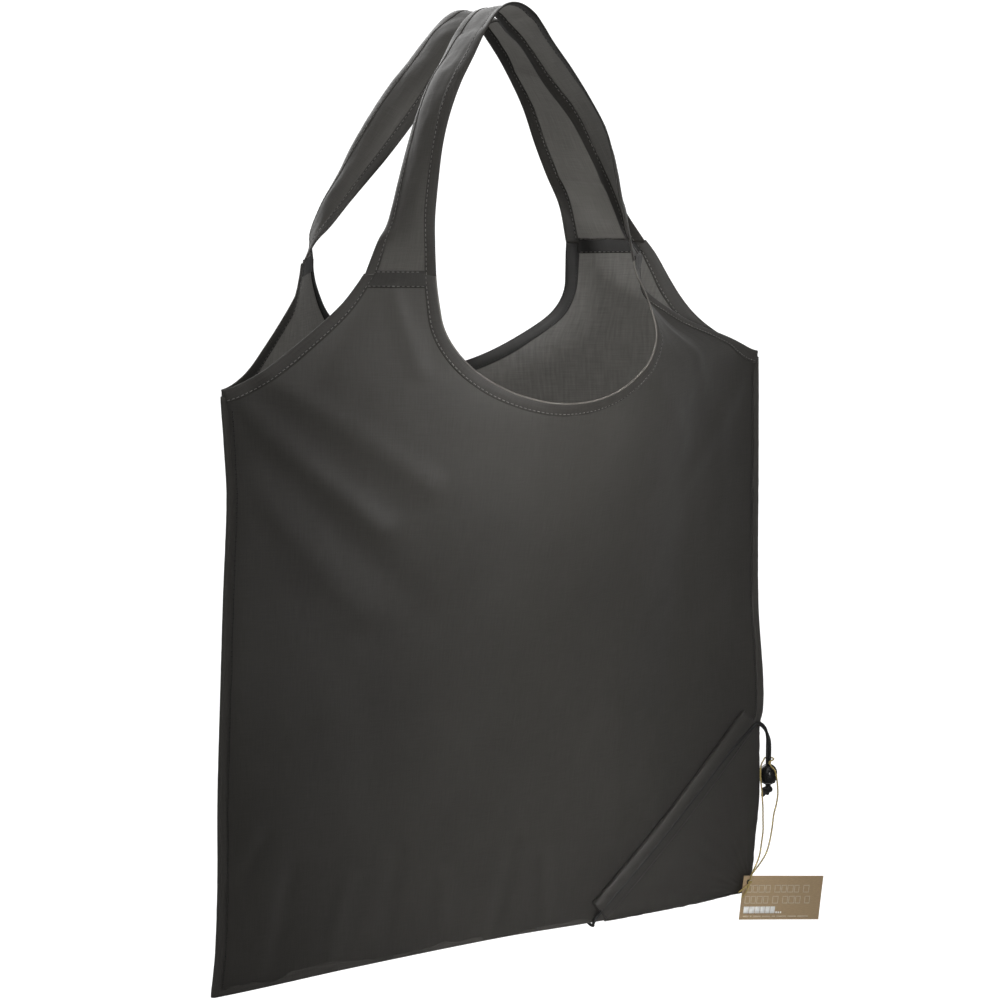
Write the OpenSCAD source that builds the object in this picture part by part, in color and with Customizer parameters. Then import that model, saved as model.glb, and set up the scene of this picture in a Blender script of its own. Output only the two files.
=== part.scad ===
// Foldable tote bag with two strap handles and a drawcord pouch on its lower corner.
// X runs across the bag, the front faces -Y, Z is up.
// The origin is the point where both handles hang, under their highest points.

/* [Body] */
// Width of the flat body, side seam to side seam
body_w = 420; // [340:5:500]
// Height of the side seams
body_h = 376; // [300:4:450]
// How far the middle of each mouth edge stands out from the centre plane
mouth_bulge = 92; // [50:1:110]
// How far each side seam is drawn in at the mouth
mouth_pull = 6; // [0:1:15]
// Thickness of one layer of cloth
cloth = 0.5; // [0.3:0.05:0.8]

/* [Neck and armholes] */
// Distance from the centre line to the inner edge of each strap join
join_in = 82; // [60:1:95]
// Distance from the centre line to the outer edge of each strap join
join_out = 127; // [110:1:140]
// How much wider each strap join is at its lower side
join_flare = 7; // [0:1:12]
// Height of the strap joins above the side corners
join_rise = 72; // [55:1:100]
// How far each armhole runs inwards before it turns up
arm_run = 32; // [20:1:45]
// How far each armhole climbs over that run
arm_climb = 8; // [0:1:15]
// Bulge that the curved section has at the height of the strap joins
join_bulge = 82; // [60:1:95]
// Depth of the neck below the side corners
neck_drop = 7; // [5:1:30]
// Height of the rounded part of the neck
neck_round = 56; // [40:1:75]
// Height of each stitched band where a strap joins the body
join_band = 10; // [6:1:16]
// Width of the folded hems
hem_w = 8; // [5:0.5:9]
// Thickness of the folded hems
hem_t = 1.2; // [0.8:0.1:2]

/* [Handles] */
// Height of each handle above its joins
handle_rise = 164; // [130:1:230]
// Distance of each handle's top from the centre plane
handle_spread = 32; // [30:1:45]
// Width of each strap at its top
handle_w = 42; // [34:1:50]
// Sideways lean of the front handle's top
front_lean = -20; // [-30:1:30]
// Sideways lean of the back handle's top
back_lean = -5; // [-30:1:30]

/* [Seams] */
// Width of the side and bottom seam allowances
seam_w = 6; // [4:0.5:10]

/* [Pouch] */
// Height of the upper end of the pouch's drawcord channel
channel_top = 124; // [110:1:124]
// Width of the channel
channel_w = 17; // [14:0.5:18]
// Depth of the channel
channel_d = 5.6; // [5:0.2:7]
// Gap between the pouch and the body's cloth
pouch_gap = 0.4; // [0.2:0.1:1]

/* [Drawcord] */
// Diameter of the drawcord
cord_d = 2; // [1.6:0.1:2.2]
// Diameter of the knot in the cord's ends
knot_d = 6.8; // [6:0.2:8]

/* [Cord lock] */
// Diameter of the round-ended body
lock_d = 12.4; // [12:0.2:14]
// Height of the round-ended body
lock_h = 14.8; // [14:0.2:16]
// Diameter of the push button
plunger_d = 6.2; // [6:0.1:6.6]
// Travel of the push button
press = 1; // [0.5:0.25:1]
// Running clearance around the button and the spring
fit = 0.15; // [0.1:0.05:0.2]
// Diameter of the spring
spring_d = 4.4; // [3.6:0.2:5]
// Wire diameter of the spring
spring_wire = 0.35; // [0.25:0.05:0.4]

/* [Tag] */
// Width of the card
card_w = 62; // [45:1:70]
// Height of the card
card_h = 31; // [25:1:40]
// Thickness of the card
card_t = 0.5; // [0.3:0.1:1]
// Diameter of the hole in the card
card_hole = 4; // [3:0.5:5]
// Diameter of the string
string_d = 1; // [0.8:0.1:1.2]

/* [Hidden] */

// Heights are measured from the bottom edge of the bag, then lowered by hang_h.
hang_h = body_h + join_rise + handle_rise;
half_w = body_w / 2;
join_z = body_h + join_rise;
neck_z = body_h - neck_drop;
// Half the space between the two panels where they meet, filled by the seam allowance
seam_gap = cloth + 0.05;
edge_y = seam_gap + cloth / 2;
FRONT = -1;
BACK = 1;
touch = 0.02;
hem_gap = 0.12;

// ---- Curved section of the body ----

function side_x(z) = half_w - mouth_pull * pow(min(max(z, 0), body_h) / body_h, 2);
function bulge(z) =
  z < neck_z
    ? mouth_bulge * pow(max(z, 0) / neck_z, 1.2)
    : mouth_bulge - (mouth_bulge - join_bulge) * (z - neck_z) / (join_z - neck_z);
function cloth_y(x, z) =
  edge_y + bulge(z) * pow(cos(90 * min(abs(x) / side_x(z), 1)), 1.5);
function on_body(p, side, out = 0) = [p[0], side * (cloth_y(p[0], p[1]) + out), p[1]];

// ---- Edges of the flat cloth, left half; the parameter t runs from 0 to 1 ----

top_x = side_x(body_h);
// The armhole is a parabola from the side corner to the strap join, where its hem ends level.
arm_start = [-top_x, body_h];
arm_knee = arm_start + [arm_run, arm_climb];
arm_end = [-join_out - join_flare, join_z - join_band / 2];
function armhole(t, inset = 0) =
  let (d = (1 - t) * (arm_knee - arm_start) + t * (arm_end - arm_knee))
  let (n = [d[1], -d[0] * (1 - pow(t, 4))])
  (1 - t) * (1 - t) * arm_start + 2 * t * (1 - t) * arm_knee + t * t * arm_end + inset * n / norm(n);
// The neck is a quarter of an ellipse with a straight side above it.
neck_bend = 0.8;
function neck(t, inset = 0) =
  t < neck_bend
    ? let (a = 90 * t / neck_bend)
      let (n = [-sin(a) / join_in, -cos(a) / neck_round])
      [-join_in * sin(a), neck_z + neck_round * (1 - cos(a))] + inset * n / norm(n)
    : let (z0 = neck_z + neck_round, z1 = join_z - join_band / 2)
      [-join_in - inset, z0 + (z1 - z0) * (t - neck_bend) / (1 - neck_bend)];

// ---- Closed solids from rows of points ----

function quad(a, b, c, d) = [[a, b, c], [a, c, d]];

// A solid swept through rings that all have the same even number of points. Opposite halves
// of a ring are split along matching diagonals, so a thin twisted sheet keeps its thickness.
module swept(rings) {
  n = len(rings[0]);
  m = len(rings);
  points = [for (r = rings) for (p = r) p];
  walls = [
    for (j = [0 : m - 2])
      for (i = [0 : n - 1])
        let (a = j * n + i, b = j * n + (i + 1) % n)
          each i < n / 2 ? quad(a, b, b + n, a + n) : quad(b, b + n, a + n, a)
  ];
  last = (m - 1) * n;
  ends = [
    for (i = [0 : n / 2 - 2])
      each concat(
        quad(n - 1 - i, n - 2 - i, i + 1, i),
        quad(last + i, last + i + 1, last + n - 2 - i, last + n - 1 - i)
      )
  ];
  polyhedron(points, concat(walls, ends), convexity = 6);
}

// A pipe with an open bore, swept through pairs of outer and inner rings.
module piped(outer, inner) {
  n = len(outer[0]);
  m = len(outer);
  size = n * m;
  points = concat([for (r = outer) for (p = r) p], [for (r = inner) for (p = r) p]);
  faces = [
    for (i = [0 : n - 1])
      let (k = (i + 1) % n)
        each concat(
          [for (j = [0 : m - 2])
            each quad(j * n + i, j * n + k, (j + 1) * n + k, (j + 1) * n + i)],
          [for (j = [0 : m - 2])
            each quad(size + (j + 1) * n + i, size + (j + 1) * n + k,
                      size + j * n + k, size + j * n + i)],
          quad(i, size + i, size + k, k),
          quad((m - 1) * n + k, size + (m - 1) * n + k,
               size + (m - 1) * n + i, (m - 1) * n + i)
        )
  ];
  polyhedron(points, faces, convexity = 8);
}

// A round tube along a route of points.
function unit(v) = v / norm(v);
function heading(route, i) =
  unit(route[min(i + 1, len(route) - 1)] - route[max(i - 1, 0)]);
function level(d) =
  let (s = cross(d, [0.13, 0.09, 0.98]))
  norm(s) > 0.2 ? unit(s) : unit(cross(d, [0.9, 0.1, 0.2]));
// Side vectors are carried along the route, so that the tube doesn't twist.
function carried(route, i = 0, side = undef) =
  let (d = heading(route, i))
  let (s = i == 0 ? level(d) : unit(side - (side * d) * d))
  i == len(route) - 1 ? [s] : concat([s], carried(route, i + 1, s));
module tube(route, d, sides = 8) {
  side = carried(route);
  swept([
    for (i = [0 : len(route) - 1])
      let (u = side[i], w = cross(heading(route, i), side[i]))
        [for (k = [0 : sides - 1])
          route[i] + d / 2 * (cos(360 * k / sides) * u - sin(360 * k / sides) * w)]
  ]);
}

// ---- Body panels ----

columns = 7;
body_rows = 12;
arm_rows = 9;
rows = body_rows + arm_rows;

// One row of the panel in the flat: the outer and the inner end of its left half
function outer_end(j) =
  j <= body_rows
    ? let (z = (body_h - hem_w - hem_gap) * j / body_rows) [-side_x(z), z]
    : armhole((j - body_rows) / arm_rows, hem_w + 2 * hem_gap);
function inner_end(j) =
  j <= body_rows
    ? [0, (neck_z - hem_w - hem_gap) * j / body_rows]
    : neck((j - body_rows) / arm_rows, hem_w + hem_gap);
function flat_point(i, j) =
  let (t = min(i, 2 * columns + 1 - i) / columns)
  let (p = outer_end(j) + (inner_end(j) - outer_end(j)) * t)
  [i > columns ? -p[0] : p[0], p[1]];

// Columns 0 to 7 are the left half and 8 to 15 the right; both share the centre line below the neck.
across = 2 * columns + 2;
function at(i, j, layer) =
  layer * across * (rows + 1)
  + j * across + (i == columns + 1 && j <= body_rows ? columns : i);
function strip(j, layer) = [
  for (i = [0 : across - 2])
    if (i != columns)
      let (q = quad(at(i, j, layer), at(i + 1, j, layer), at(i + 1, j + 1, layer), at(i, j + 1, layer)))
        each q
];
function turned(faces) = [for (f = faces) [for (k = [len(f) - 1 : -1 : 0]) f[k]]];

module panel(side) {
  points = [
    for (layer = [0, 1])
      for (j = [0 : rows])
        for (i = [0 : across - 1])
          on_body(flat_point(i, j), side, (layer - 0.5) * cloth)
  ];
  layers = concat(
    [for (j = [0 : rows - 1]) each turned(strip(j, 0))],
    [for (j = [0 : rows - 1]) each strip(j, 1)]
  );
  edges = concat(
    [for (i = [0 : across - 2]) if (i != columns)
      each quad(at(i, 0, 0), at(i + 1, 0, 0), at(i + 1, 0, 1), at(i, 0, 1))],
    [for (i = [0 : across - 2]) if (i != columns)
      each quad(at(i + 1, rows, 0), at(i, rows, 0), at(i, rows, 1), at(i + 1, rows, 1))],
    [for (j = [0 : rows - 1])
      each quad(at(0, j + 1, 0), at(0, j, 0), at(0, j, 1), at(0, j + 1, 1))],
    [for (j = [0 : rows - 1])
      each quad(at(across - 1, j, 0), at(across - 1, j + 1, 0),
                at(across - 1, j + 1, 1), at(across - 1, j, 1))],
    [for (j = [body_rows : rows - 1])
      each quad(at(columns, j, 0), at(columns, j + 1, 0),
                at(columns, j + 1, 1), at(columns, j, 1))],
    [for (j = [body_rows : rows - 1])
      each quad(at(columns + 1, j + 1, 0), at(columns + 1, j, 0),
                at(columns + 1, j, 1), at(columns + 1, j + 1, 1))]
  );
  faces = concat(layers, edges);
  translate([0, 0, -hang_h])
    polyhedron(points, side == FRONT ? turned(faces) : faces, convexity = 8);
}

module front_panel() {
  color("#3c3a37") panel(FRONT);
}
module back_panel() {
  color("#3c3a37") panel(BACK);
}

// ---- Hems of the neck and the armholes ----

// A band between a cloth edge and the line hem_w inside it
function band_ring(edge, inner, side) = [
  on_body(edge, side, -hem_t / 2),
  on_body(edge, side, hem_t / 2),
  on_body(inner, side, hem_t / 2),
  on_body(inner, side, -hem_t / 2)
];
function flipped(p) = [-p[0], p[1]];
module hem(edge, inner, side) {
  rings = [for (k = [0 : len(edge) - 1]) band_ring(edge[k], inner[k], side)];
  translate([0, 0, -hang_h])
    swept(side == FRONT ? [for (r = rings) [for (k = [3 : -1 : 0]) r[k]]] : rings);
}
// Halves of the neck are joined at the centre line, without repeating its point.
function mirrored_path(half) = concat(
  [for (k = [len(half) - 1 : -1 : 0]) half[k]],
  [for (k = [1 : len(half) - 1]) flipped(half[k])]
);

module neck_hem(side) {
  edge = [for (j = [0 : arm_rows]) neck(j / arm_rows)];
  inner = [for (j = [0 : arm_rows]) neck(j / arm_rows, hem_w)];
  hem(mirrored_path(edge), mirrored_path(inner), side);
}
module front_neck_hem() {
  color("#2e2c2a") neck_hem(FRONT);
}
module back_neck_hem() {
  color("#2e2c2a") neck_hem(BACK);
}

module armhole_hems(side) {
  edge = [for (j = [0 : arm_rows]) armhole(j / arm_rows)];
  inner = [for (j = [0 : arm_rows]) armhole(j / arm_rows, hem_w)];
  hem(edge, inner, side);
  hem([for (p = inner) flipped(p)], [for (p = edge) flipped(p)], side);
}
module front_armhole_hems() {
  color("#2e2c2a") armhole_hems(FRONT);
}
module back_armhole_hems() {
  color("#2e2c2a") armhole_hems(BACK);
}

// ---- Stitched bands where the straps join the body ----

band_lo = join_z - join_band / 2 + touch;
band_hi = join_z + join_band / 2;
module join_bands(side) {
  for (hand = [-1, 1])
    let (
      low = [[hand * (join_out + join_flare), band_lo], [hand * join_in, band_lo]],
      high = [[hand * join_out, band_hi], [hand * join_in, band_hi]],
      rings = [band_ring(low[0], low[1], side), band_ring(high[0], high[1], side)]
    )
    translate([0, 0, -hang_h])
      swept(side * hand < 0 ? rings : [for (r = rings) [for (k = [3 : -1 : 0]) r[k]]]);
}
module front_join_bands() {
  color("#2a2826") join_bands(FRONT);
}
module back_join_bands() {
  color("#2a2826") join_bands(BACK);
}

// ---- Handles ----

// Each strap runs up from the left join, over its top and down to the right join,
// and is as wide as the join at its ends.
strap_gap = 0.5;
strap_z = band_hi + strap_gap;
strap_out = on_body([join_out, strap_z], BACK);
strap_in = on_body([join_in, strap_z], BACK);
strap_w = norm(strap_out - strap_in);
strap_mid = (strap_out + strap_in) / 2;
strap_turn = atan2(strap_out[0] - strap_in[0], strap_in[1] - strap_out[1]);
strap_steps = 22;
function strap_centre(s, side, lean) = [
  lean * (1 - s * s) + strap_mid[0] * s,
  side * (handle_spread + (strap_mid[1] - handle_spread) * abs(s)),
  hang_h - (hang_h - strap_z) * pow(abs(s), 1.43)
];
// Direction across the strap, towards its neck edge. It turns from the join's line to Y at the top.
strap_twist = 5;
function strap_across(s, side, lean) =
  let (a = strap_turn * pow(abs(s), strap_twist))
  let (w = [-sign(s) * sin(a), side * cos(a), 0])
  let (d = unit(strap_centre(s + 0.01, side, lean) - strap_centre(s - 0.01, side, lean)))
  unit(w - (w * d) * (1 - pow(abs(s), 6)) * d);
function strap_half(s) = (handle_w + (strap_w - handle_w) * pow(abs(s), strap_twist)) / 2;
function strap_ring(s, side, lean, inset, t) =
  let (lo = inset[0] - strap_half(s) * inset[1], hi = inset[2] - strap_half(s) * inset[3])
  let (c = strap_centre(s, side, lean), w = strap_across(s, side, lean))
  let (d = unit(strap_centre(s + 0.01, side, lean) - strap_centre(s - 0.01, side, lean)))
  let (n = abs(s) > 0.999 ? unit(cross([0, 0, -sign(s)], w)) : unit(cross(d, w)))
  [c + lo * w + t / 2 * n, c + hi * w + t / 2 * n, c + hi * w - t / 2 * n, c + lo * w - t / 2 * n];
// The inset of a strip's two long sides is measured from one edge of the strap or from the other.
module strap(side, lean, inset, t) {
  rings = [for (k = [-strap_steps : strap_steps]) strap_ring(k / strap_steps, side, lean, inset, t)];
  translate([0, 0, -hang_h]) swept(rings);
}
module handle(side, lean) {
  strap(side, lean, [hem_w + hem_gap, 1, -hem_w - hem_gap, -1], cloth);
}
module handle_hems(side, lean) {
  strap(side, lean, [0, 1, hem_w, 1], hem_t);
  strap(side, lean, [-hem_w, -1, 0, -1], hem_t);
}
module front_handle() {
  color("#54514d") handle(FRONT, front_lean);
}
module back_handle() {
  color("#54514d") handle(BACK, back_lean);
}
module front_handle_hems() {
  color("#2e2c2a") handle_hems(FRONT, front_lean);
}
module back_handle_hems() {
  color("#2e2c2a") handle_hems(BACK, back_lean);
}

// ---- Side and bottom seams ----

seam_t = 2 * cloth;
seam_steps = 12;
module side_seam(hand) {
  heights = [for (k = [0 : seam_steps]) (body_h - hem_w) * k / seam_steps];
  outer = [for (z = heights) [hand * (side_x(z) - touch), z]];
  inner = [for (k = [seam_steps : -1 : 0]) [hand * (side_x(heights[k]) - seam_w), heights[k]]];
  translate([0, 0, -hang_h])
    rotate([90, 0, 0])
      linear_extrude(height = seam_t, center = true) polygon(concat(outer, inner));
}
module left_side_seam() {
  color("#33312f") side_seam(-1);
}
module right_side_seam() {
  color("#33312f") side_seam(1);
}
module bottom_seam() {
  run = body_w - 2 * (seam_w + 1);
  color("#33312f")
    translate([-run / 2, -seam_t / 2, touch - hang_h]) cube([run, seam_t, seam_w]);
}

// ---- Pouch on the lower right corner ----

// Places on the pouch are measured from the bag's lower right corner.
channel_up = [-8.5, channel_top];
channel_low = [-133, 7.5];
channel_dir = unit(channel_low - channel_up);
channel_side = [-channel_dir[1], channel_dir[0]];
function from_corner(p) = [p[0] + half_w, p[1]];
// Middle of the channel's depth, clear of the panel across its whole width
channel_steps = 8;
channel_clear = pouch_gap + 0.5;
function channel_mid(k) = channel_up + (channel_low - channel_up) * k / channel_steps;
function channel_y(k) =
  let (p = channel_mid(k))
  max([for (w = [-0.5, 0, 0.5]) let (q = from_corner(p + w * channel_w * channel_side)) cloth_y(q[0], q[1])])
  + cloth / 2 + channel_clear + channel_d / 2;
// The flattened section of the channel has round ends.
function channel_ring(k, side, shrink) =
  let (p = from_corner(channel_mid(k)), r = channel_d / 2 - shrink, half = channel_w / 2 - channel_d / 2)
  [for (a = [0 : 30 : 330])
    let (e = (a < 90 || a > 270) ? half : (a > 90 && a < 270) ? -half : 0)
      [p[0], side * channel_y(k), p[1]]
      + (e + r * cos(a)) * [channel_side[0], 0, channel_side[1]]
      + [0, r * sin(a), 0]];
module channel(side) {
  outer = [for (k = [0 : channel_steps]) channel_ring(k, side, 0)];
  inner = [for (k = [0 : channel_steps]) channel_ring(k, side, cloth)];
  translate([0, 0, -hang_h]) piped(outer, inner);
}
module pouch_front_channel() {
  color("#45423f") channel(FRONT);
}
module pouch_back_channel() {
  color("#45423f") channel(BACK);
}

// Each side of the pouch is a sheet between the corner and the lower edge of its channel.
sheet_steps = 8;
sheet_out = cloth / 2 + pouch_gap + cloth / 2;
sheet_line = channel_up + (channel_w / 2 + 2 * touch) * channel_side;
sheet_slope = channel_dir[1] / channel_dir[0];
sheet_b = [0, sheet_line[1] - sheet_line[0] * sheet_slope];
sheet_c = [sheet_line[0] + (1 - sheet_line[1]) / sheet_slope, 1];
function sheet_point(u, v) = from_corner(v * (sheet_b + (sheet_c - sheet_b) * u));
module pouch_sheet(side) {
  rings = [
    for (k = [0 : sheet_steps])
      let (u = k / sheet_steps)
        concat(
          [for (v = [0.04, 0.3, 0.65, 1]) on_body(sheet_point(u, v), side, sheet_out + cloth / 2)],
          [for (v = [1, 0.65, 0.3, 0.04]) on_body(sheet_point(u, v), side, sheet_out - cloth / 2)]
        )
  ];
  translate([0, 0, -hang_h])
    swept(side == BACK ? rings : [for (r = rings) [for (k = [7 : -1 : 0]) r[k]]]);
}
module pouch_front() {
  color("#45423f") pouch_sheet(FRONT);
}
module pouch_back() {
  color("#45423f") pouch_sheet(BACK);
}

// The closed edge joins both sides of the pouch round the outside of the bag's corner.
edge_t = 1;
edge_half = edge_y + sheet_out + cloth / 2;
module pouch_edge() {
  top = sheet_b[1] - channel_w / 2;
  outline = [
    [touch, top], [touch, -touch], [sheet_c[0] + 2, -touch], [sheet_c[0] + 2, -edge_t],
    [edge_t, -edge_t], [edge_t, top]
  ];
  color("#45423f")
    translate([half_w, 0, -hang_h])
      rotate([90, 0, 0])
        linear_extrude(height = 2 * edge_half, center = true) polygon(outline);
}

// ---- Drawcord ----

// Route of the cord from its knot through the front channel, under the bag's bottom edge,
// back through the rear channel and down to the knot again. Its places are measured
// from the bag's lower right corner; the second half mirrors the first.
lock_at = [10, 0, 81];
cord_pair = 2.2;
cord_half = [
  [0, -5, 119], [-4.5, -5.4, 119.5], [-12, -6, 114.5], [-27, -7.4, 104], [-50, -9, 84],
  [-70, -9.8, 66], [-90, -9.6, 47.5], [-110, -8.4, 29], [-126, -6.8, 14], [-133, -6.2, 7.5],
  [-137, -5, 3], [-138, -3.2, -0.6], [-137, -1.5, -2.4]
];
cord_rise_a = [
  [8.9, 0, 70], [8.9, 0, 80], [8.9, 0, 90], [8.9, 0, 101], [8.3, -0.8, 106], [6.6, -2.2, 111], [3.8, -3.8, 115.5]
];
cord_rise_b = [
  [4.6, 3.8, 116.5], [8, 2.2, 113], [10.3, 0.8, 107.5], [11.1, 0, 102], [11.1, 0, 90], [11.1, 0, 80], [11.1, 0, 70]
];
cord_route = concat(
  cord_rise_a,
  cord_half,
  [for (k = [len(cord_half) - 1 : -1 : 0]) [cord_half[k][0], -cord_half[k][1], cord_half[k][2]]],
  cord_rise_b
);
module drawcord() {
  color("#151515")
    translate([half_w, 0, -hang_h]) tube(cord_route, cord_d);
}
// The knot holds both ends under the cord lock.
knot_gap = 0.6;
knot_z = lock_at[2] - lock_h / 2 - knot_gap - knot_d / 2;
module cord_knot() {
  color("#1a1a1a")
    translate([half_w, 0, -hang_h])
      translate([lock_at[0], 0, knot_z]) {
        sphere(d = knot_d, $fn = 40);
        translate([-2, 0, -0.6]) rotate([0, 215, 0]) cylinder(h = 5, d = cord_d, $fn = 24);
        translate([1, 0, -1]) rotate([0, 170, 0]) cylinder(h = 5, d = cord_d, $fn = 24);
      }
}

// ---- Cord lock ----

// The cords run up through a slot; the button slides in a bore that faces the back.
slot_x = cord_pair + cord_d + 2 * fit;
slot_y = cord_d + 2 * fit;
lock_wall = 0.6;
bore_r = plunger_d / 2 + fit;
bore_bottom = -sqrt(pow(lock_d / 2 - lock_wall, 2) - bore_r * bore_r);
plunger_in = -slot_y / 2 - 1;
plunger_out = lock_d / 2 + press + 0.7;
spring_len = plunger_in - bore_bottom - 0.1;
module along_y() {
  rotate([-90, 0, 0]) children();
}
module at_lock() {
  translate([half_w, 0, -hang_h]) translate(lock_at) children();
}
lock_straight = lock_h - lock_d;
module cord_lock_body() {
  color("#0c0c0c")
    at_lock()
      difference() {
        union() {
          cylinder(h = lock_straight, d = lock_d, center = true, $fn = 64);
          for (end = [-1, 1])
            translate([0, 0, end * lock_straight / 2]) sphere(d = lock_d, $fn = 64);
        }
        translate([-slot_x / 2, -slot_y / 2, -lock_h]) cube([slot_x, slot_y, 2 * lock_h]);
        translate([0, bore_bottom, 0])
          along_y() cylinder(h = lock_d, r = bore_r, $fn = 48);
      }
}
module cord_lock_plunger() {
  color("#141414")
    at_lock()
      difference() {
        translate([0, plunger_in, 0])
          along_y() cylinder(h = plunger_out - plunger_in, d = plunger_d, $fn = 48);
        translate([-slot_x / 2, -slot_y / 2, -plunger_d])
          cube([slot_x, slot_y + press, 2 * plunger_d]);
      }
}
module cord_lock_spring() {
  turns = 3;
  color("#b8b8b8")
    at_lock()
      for (k = [0 : turns - 1])
        translate([0, bore_bottom + 0.05 + spring_wire / 2 + k * (spring_len - spring_wire) / (turns - 1), 0])
          along_y() rotate_extrude($fn = 32)
            translate([(spring_d - spring_wire) / 2, 0]) circle(d = spring_wire, $fn = 16);
}

// ---- Tag ----

// The string's loop lies round both cords on top of the lock, and its two strands
// fall past the lock's front. Below the lock they hang free. Places are measured from the lock.
loop_route = [
  [-10.3, -7, -12], [-10.5, -7, -9], [-11.6, -7, -2], [-12, -7, 3], [-11.2, -6.2, 8], [-8.8, -4.4, 10.4],
  [-6, -2.2, 11], [-3.4, 0.4, 11.2], [-1.6, 2.4, 11.2], [1, 2.9, 11.2], [3.2, 1.6, 11.1], [3.7, -0.8, 10.9],
  [2.2, -2.7, 10.6], [-0.6, -3.6, 10.3], [-2.6, -4.4, 9.4], [-1.6, -6, 6.6], [0.2, -7.2, 4], [2, -7.4, -3],
  [2.8, -7.5, -12]
];
string_gap = 0.3;
// Lower ends of both strands, ending at the knot in the card's hole
left_route = [
  [-10.3, -7, -12.3], [-9.6, -7, -20], [-9.5, -7.2, -29], [-9.8, -7.8, -37], [-11.4, -8.2, -46], [-13.2, -8.8, -53],
  [-16.8, -10, -59], [-20.8, -11, -64], [-23.2, -11.6, -69]
];
right_route = [
  [2.8, -7.5, -12.3], [1.6, -7.5, -20], [-0.5, -7.5, -27], [-2, -7.6, -37], [-4.6, -8, -47], [-7.5, -8, -54],
  [-12.5, -8, -60], [-18, -8.2, -65], [-22.2, -8.2, -69.5]
];
card_turn = 10;
hole_at = [-23, -10, -70.5];
hole_in = [2.5, 2.2];
module tag_string_loop() {
  color("#b49b4a") at_lock() tube(loop_route, string_d);
}
module tag_string() {
  color("#b49b4a") at_lock() {
    tube(left_route, string_d);
    tube(right_route, string_d);
  }
}
module in_card() {
  at_lock() translate(hole_at) rotate([0, 0, -card_turn]) children();
}
module tag_knot() {
  color("#b49b4a")
    in_card() translate([0, -card_t / 2 - string_gap - 1.1, 0]) {
      sphere(d = 2.2, $fn = 24);
      rotate([0, -110, 0]) cylinder(h = 11, d = string_d, $fn = 16);
      rotate([0, -148, 0]) cylinder(h = 12, d = string_d, $fn = 16);
    }
}
module tag_card() {
  color("#a68c66")
    in_card()
      difference() {
        translate([-hole_in[0] - card_hole / 2, -card_t / 2, -card_h + hole_in[1] + card_hole / 2])
          cube([card_w, card_t, card_h]);
        along_y() cylinder(h = 4 * card_t, d = card_hole, center = true, $fn = 32);
      }
}

front_panel();
back_panel();
left_side_seam();
right_side_seam();
bottom_seam();
front_neck_hem();
back_neck_hem();
front_armhole_hems();
back_armhole_hems();
front_join_bands();
back_join_bands();
front_handle();
back_handle();
front_handle_hems();
back_handle_hems();
pouch_front();
pouch_back();
pouch_edge();
pouch_front_channel();
pouch_back_channel();
drawcord();
cord_knot();
cord_lock_body();
cord_lock_plunger();
cord_lock_spring();
tag_string_loop();
tag_string();
tag_knot();
tag_card();
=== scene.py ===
import math

import bpy
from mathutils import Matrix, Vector, noise


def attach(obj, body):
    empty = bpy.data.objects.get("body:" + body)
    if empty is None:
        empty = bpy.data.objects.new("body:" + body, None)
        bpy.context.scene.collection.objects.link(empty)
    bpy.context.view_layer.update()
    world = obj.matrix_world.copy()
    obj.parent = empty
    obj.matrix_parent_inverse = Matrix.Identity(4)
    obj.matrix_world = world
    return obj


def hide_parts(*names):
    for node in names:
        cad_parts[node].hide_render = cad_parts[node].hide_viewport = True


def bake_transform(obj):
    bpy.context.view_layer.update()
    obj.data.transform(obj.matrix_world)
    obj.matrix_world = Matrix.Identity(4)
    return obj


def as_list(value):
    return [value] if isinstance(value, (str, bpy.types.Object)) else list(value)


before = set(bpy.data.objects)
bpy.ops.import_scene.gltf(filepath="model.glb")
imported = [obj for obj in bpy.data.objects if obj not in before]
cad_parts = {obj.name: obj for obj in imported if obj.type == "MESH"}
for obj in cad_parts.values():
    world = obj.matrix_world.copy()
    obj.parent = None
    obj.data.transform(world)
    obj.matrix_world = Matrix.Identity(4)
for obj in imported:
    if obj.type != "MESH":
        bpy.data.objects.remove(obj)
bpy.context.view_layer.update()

# Lengths are in mm in bag coordinates until place() turns them into metres in the row frame:
# x from the bag's middle, y from its centre plane, z up from its bottom edge.
HANG_H = 612
FRONT, BACK = -1, 1
HALF_W = 210
BODY_H = 376
MOUTH_PULL = 6
MOUTH_BULGE = 92
JOIN_BULGE = 82
EDGE_Y = 0.8
JOIN_IN, JOIN_OUT, JOIN_FLARE = 82, 127, 7
JOIN_LOW, JOIN_MID, JOIN_HIGH = 443, 448, 453
ARMHOLE_BEND = (-172, 384)
NECK_Z = 369
NECK_ROUND = 56
NECK_BEND = 0.8
STRAP_W = 42
JOIN_W = 50
HEM_W = 8
STITCH_IN = 6.7
STITCH_PITCH = 3.0


def place(p):
    return Vector((p[0] / 1000, p[1] / 1000, (p[2] - HANG_H) / 1000))


def clamp(v, low=0.0, high=1.0):
    return max(low, min(high, v))


def smooth(v):
    v = clamp(v)
    return v * v * (3 - 2 * v)


def mix(a, b, t):
    return a + (b - a) * t


def along(table, v):
    """Smooth value at v from a table of (place, value) pairs"""
    if v <= table[0][0]:
        return table[0][1]
    if v >= table[-1][0]:
        return table[-1][1]
    k = next(i for i in range(len(table) - 1) if v <= table[i + 1][0])
    (v0, a), (v1, b) = table[k], table[k + 1]
    run = v1 - v0
    before, after = table[max(k - 1, 0)], table[min(k + 2, len(table) - 1)]
    rise_a = (b - before[1]) / (v1 - before[0]) if k else 0
    rise_b = (after[1] - a) / (after[0] - v0) if k + 2 < len(table) else 0
    t = (v - v0) / run
    return (a * (2 * t ** 3 - 3 * t * t + 1) + b * (3 * t * t - 2 * t ** 3)
            + run * (rise_a * (t ** 3 - 2 * t * t + t) + rise_b * (t ** 3 - t * t)))


def ripple(x, z, seed, span_x, span_z):
    return noise.noise(Vector((x / span_x, z / span_z, seed)))


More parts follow.
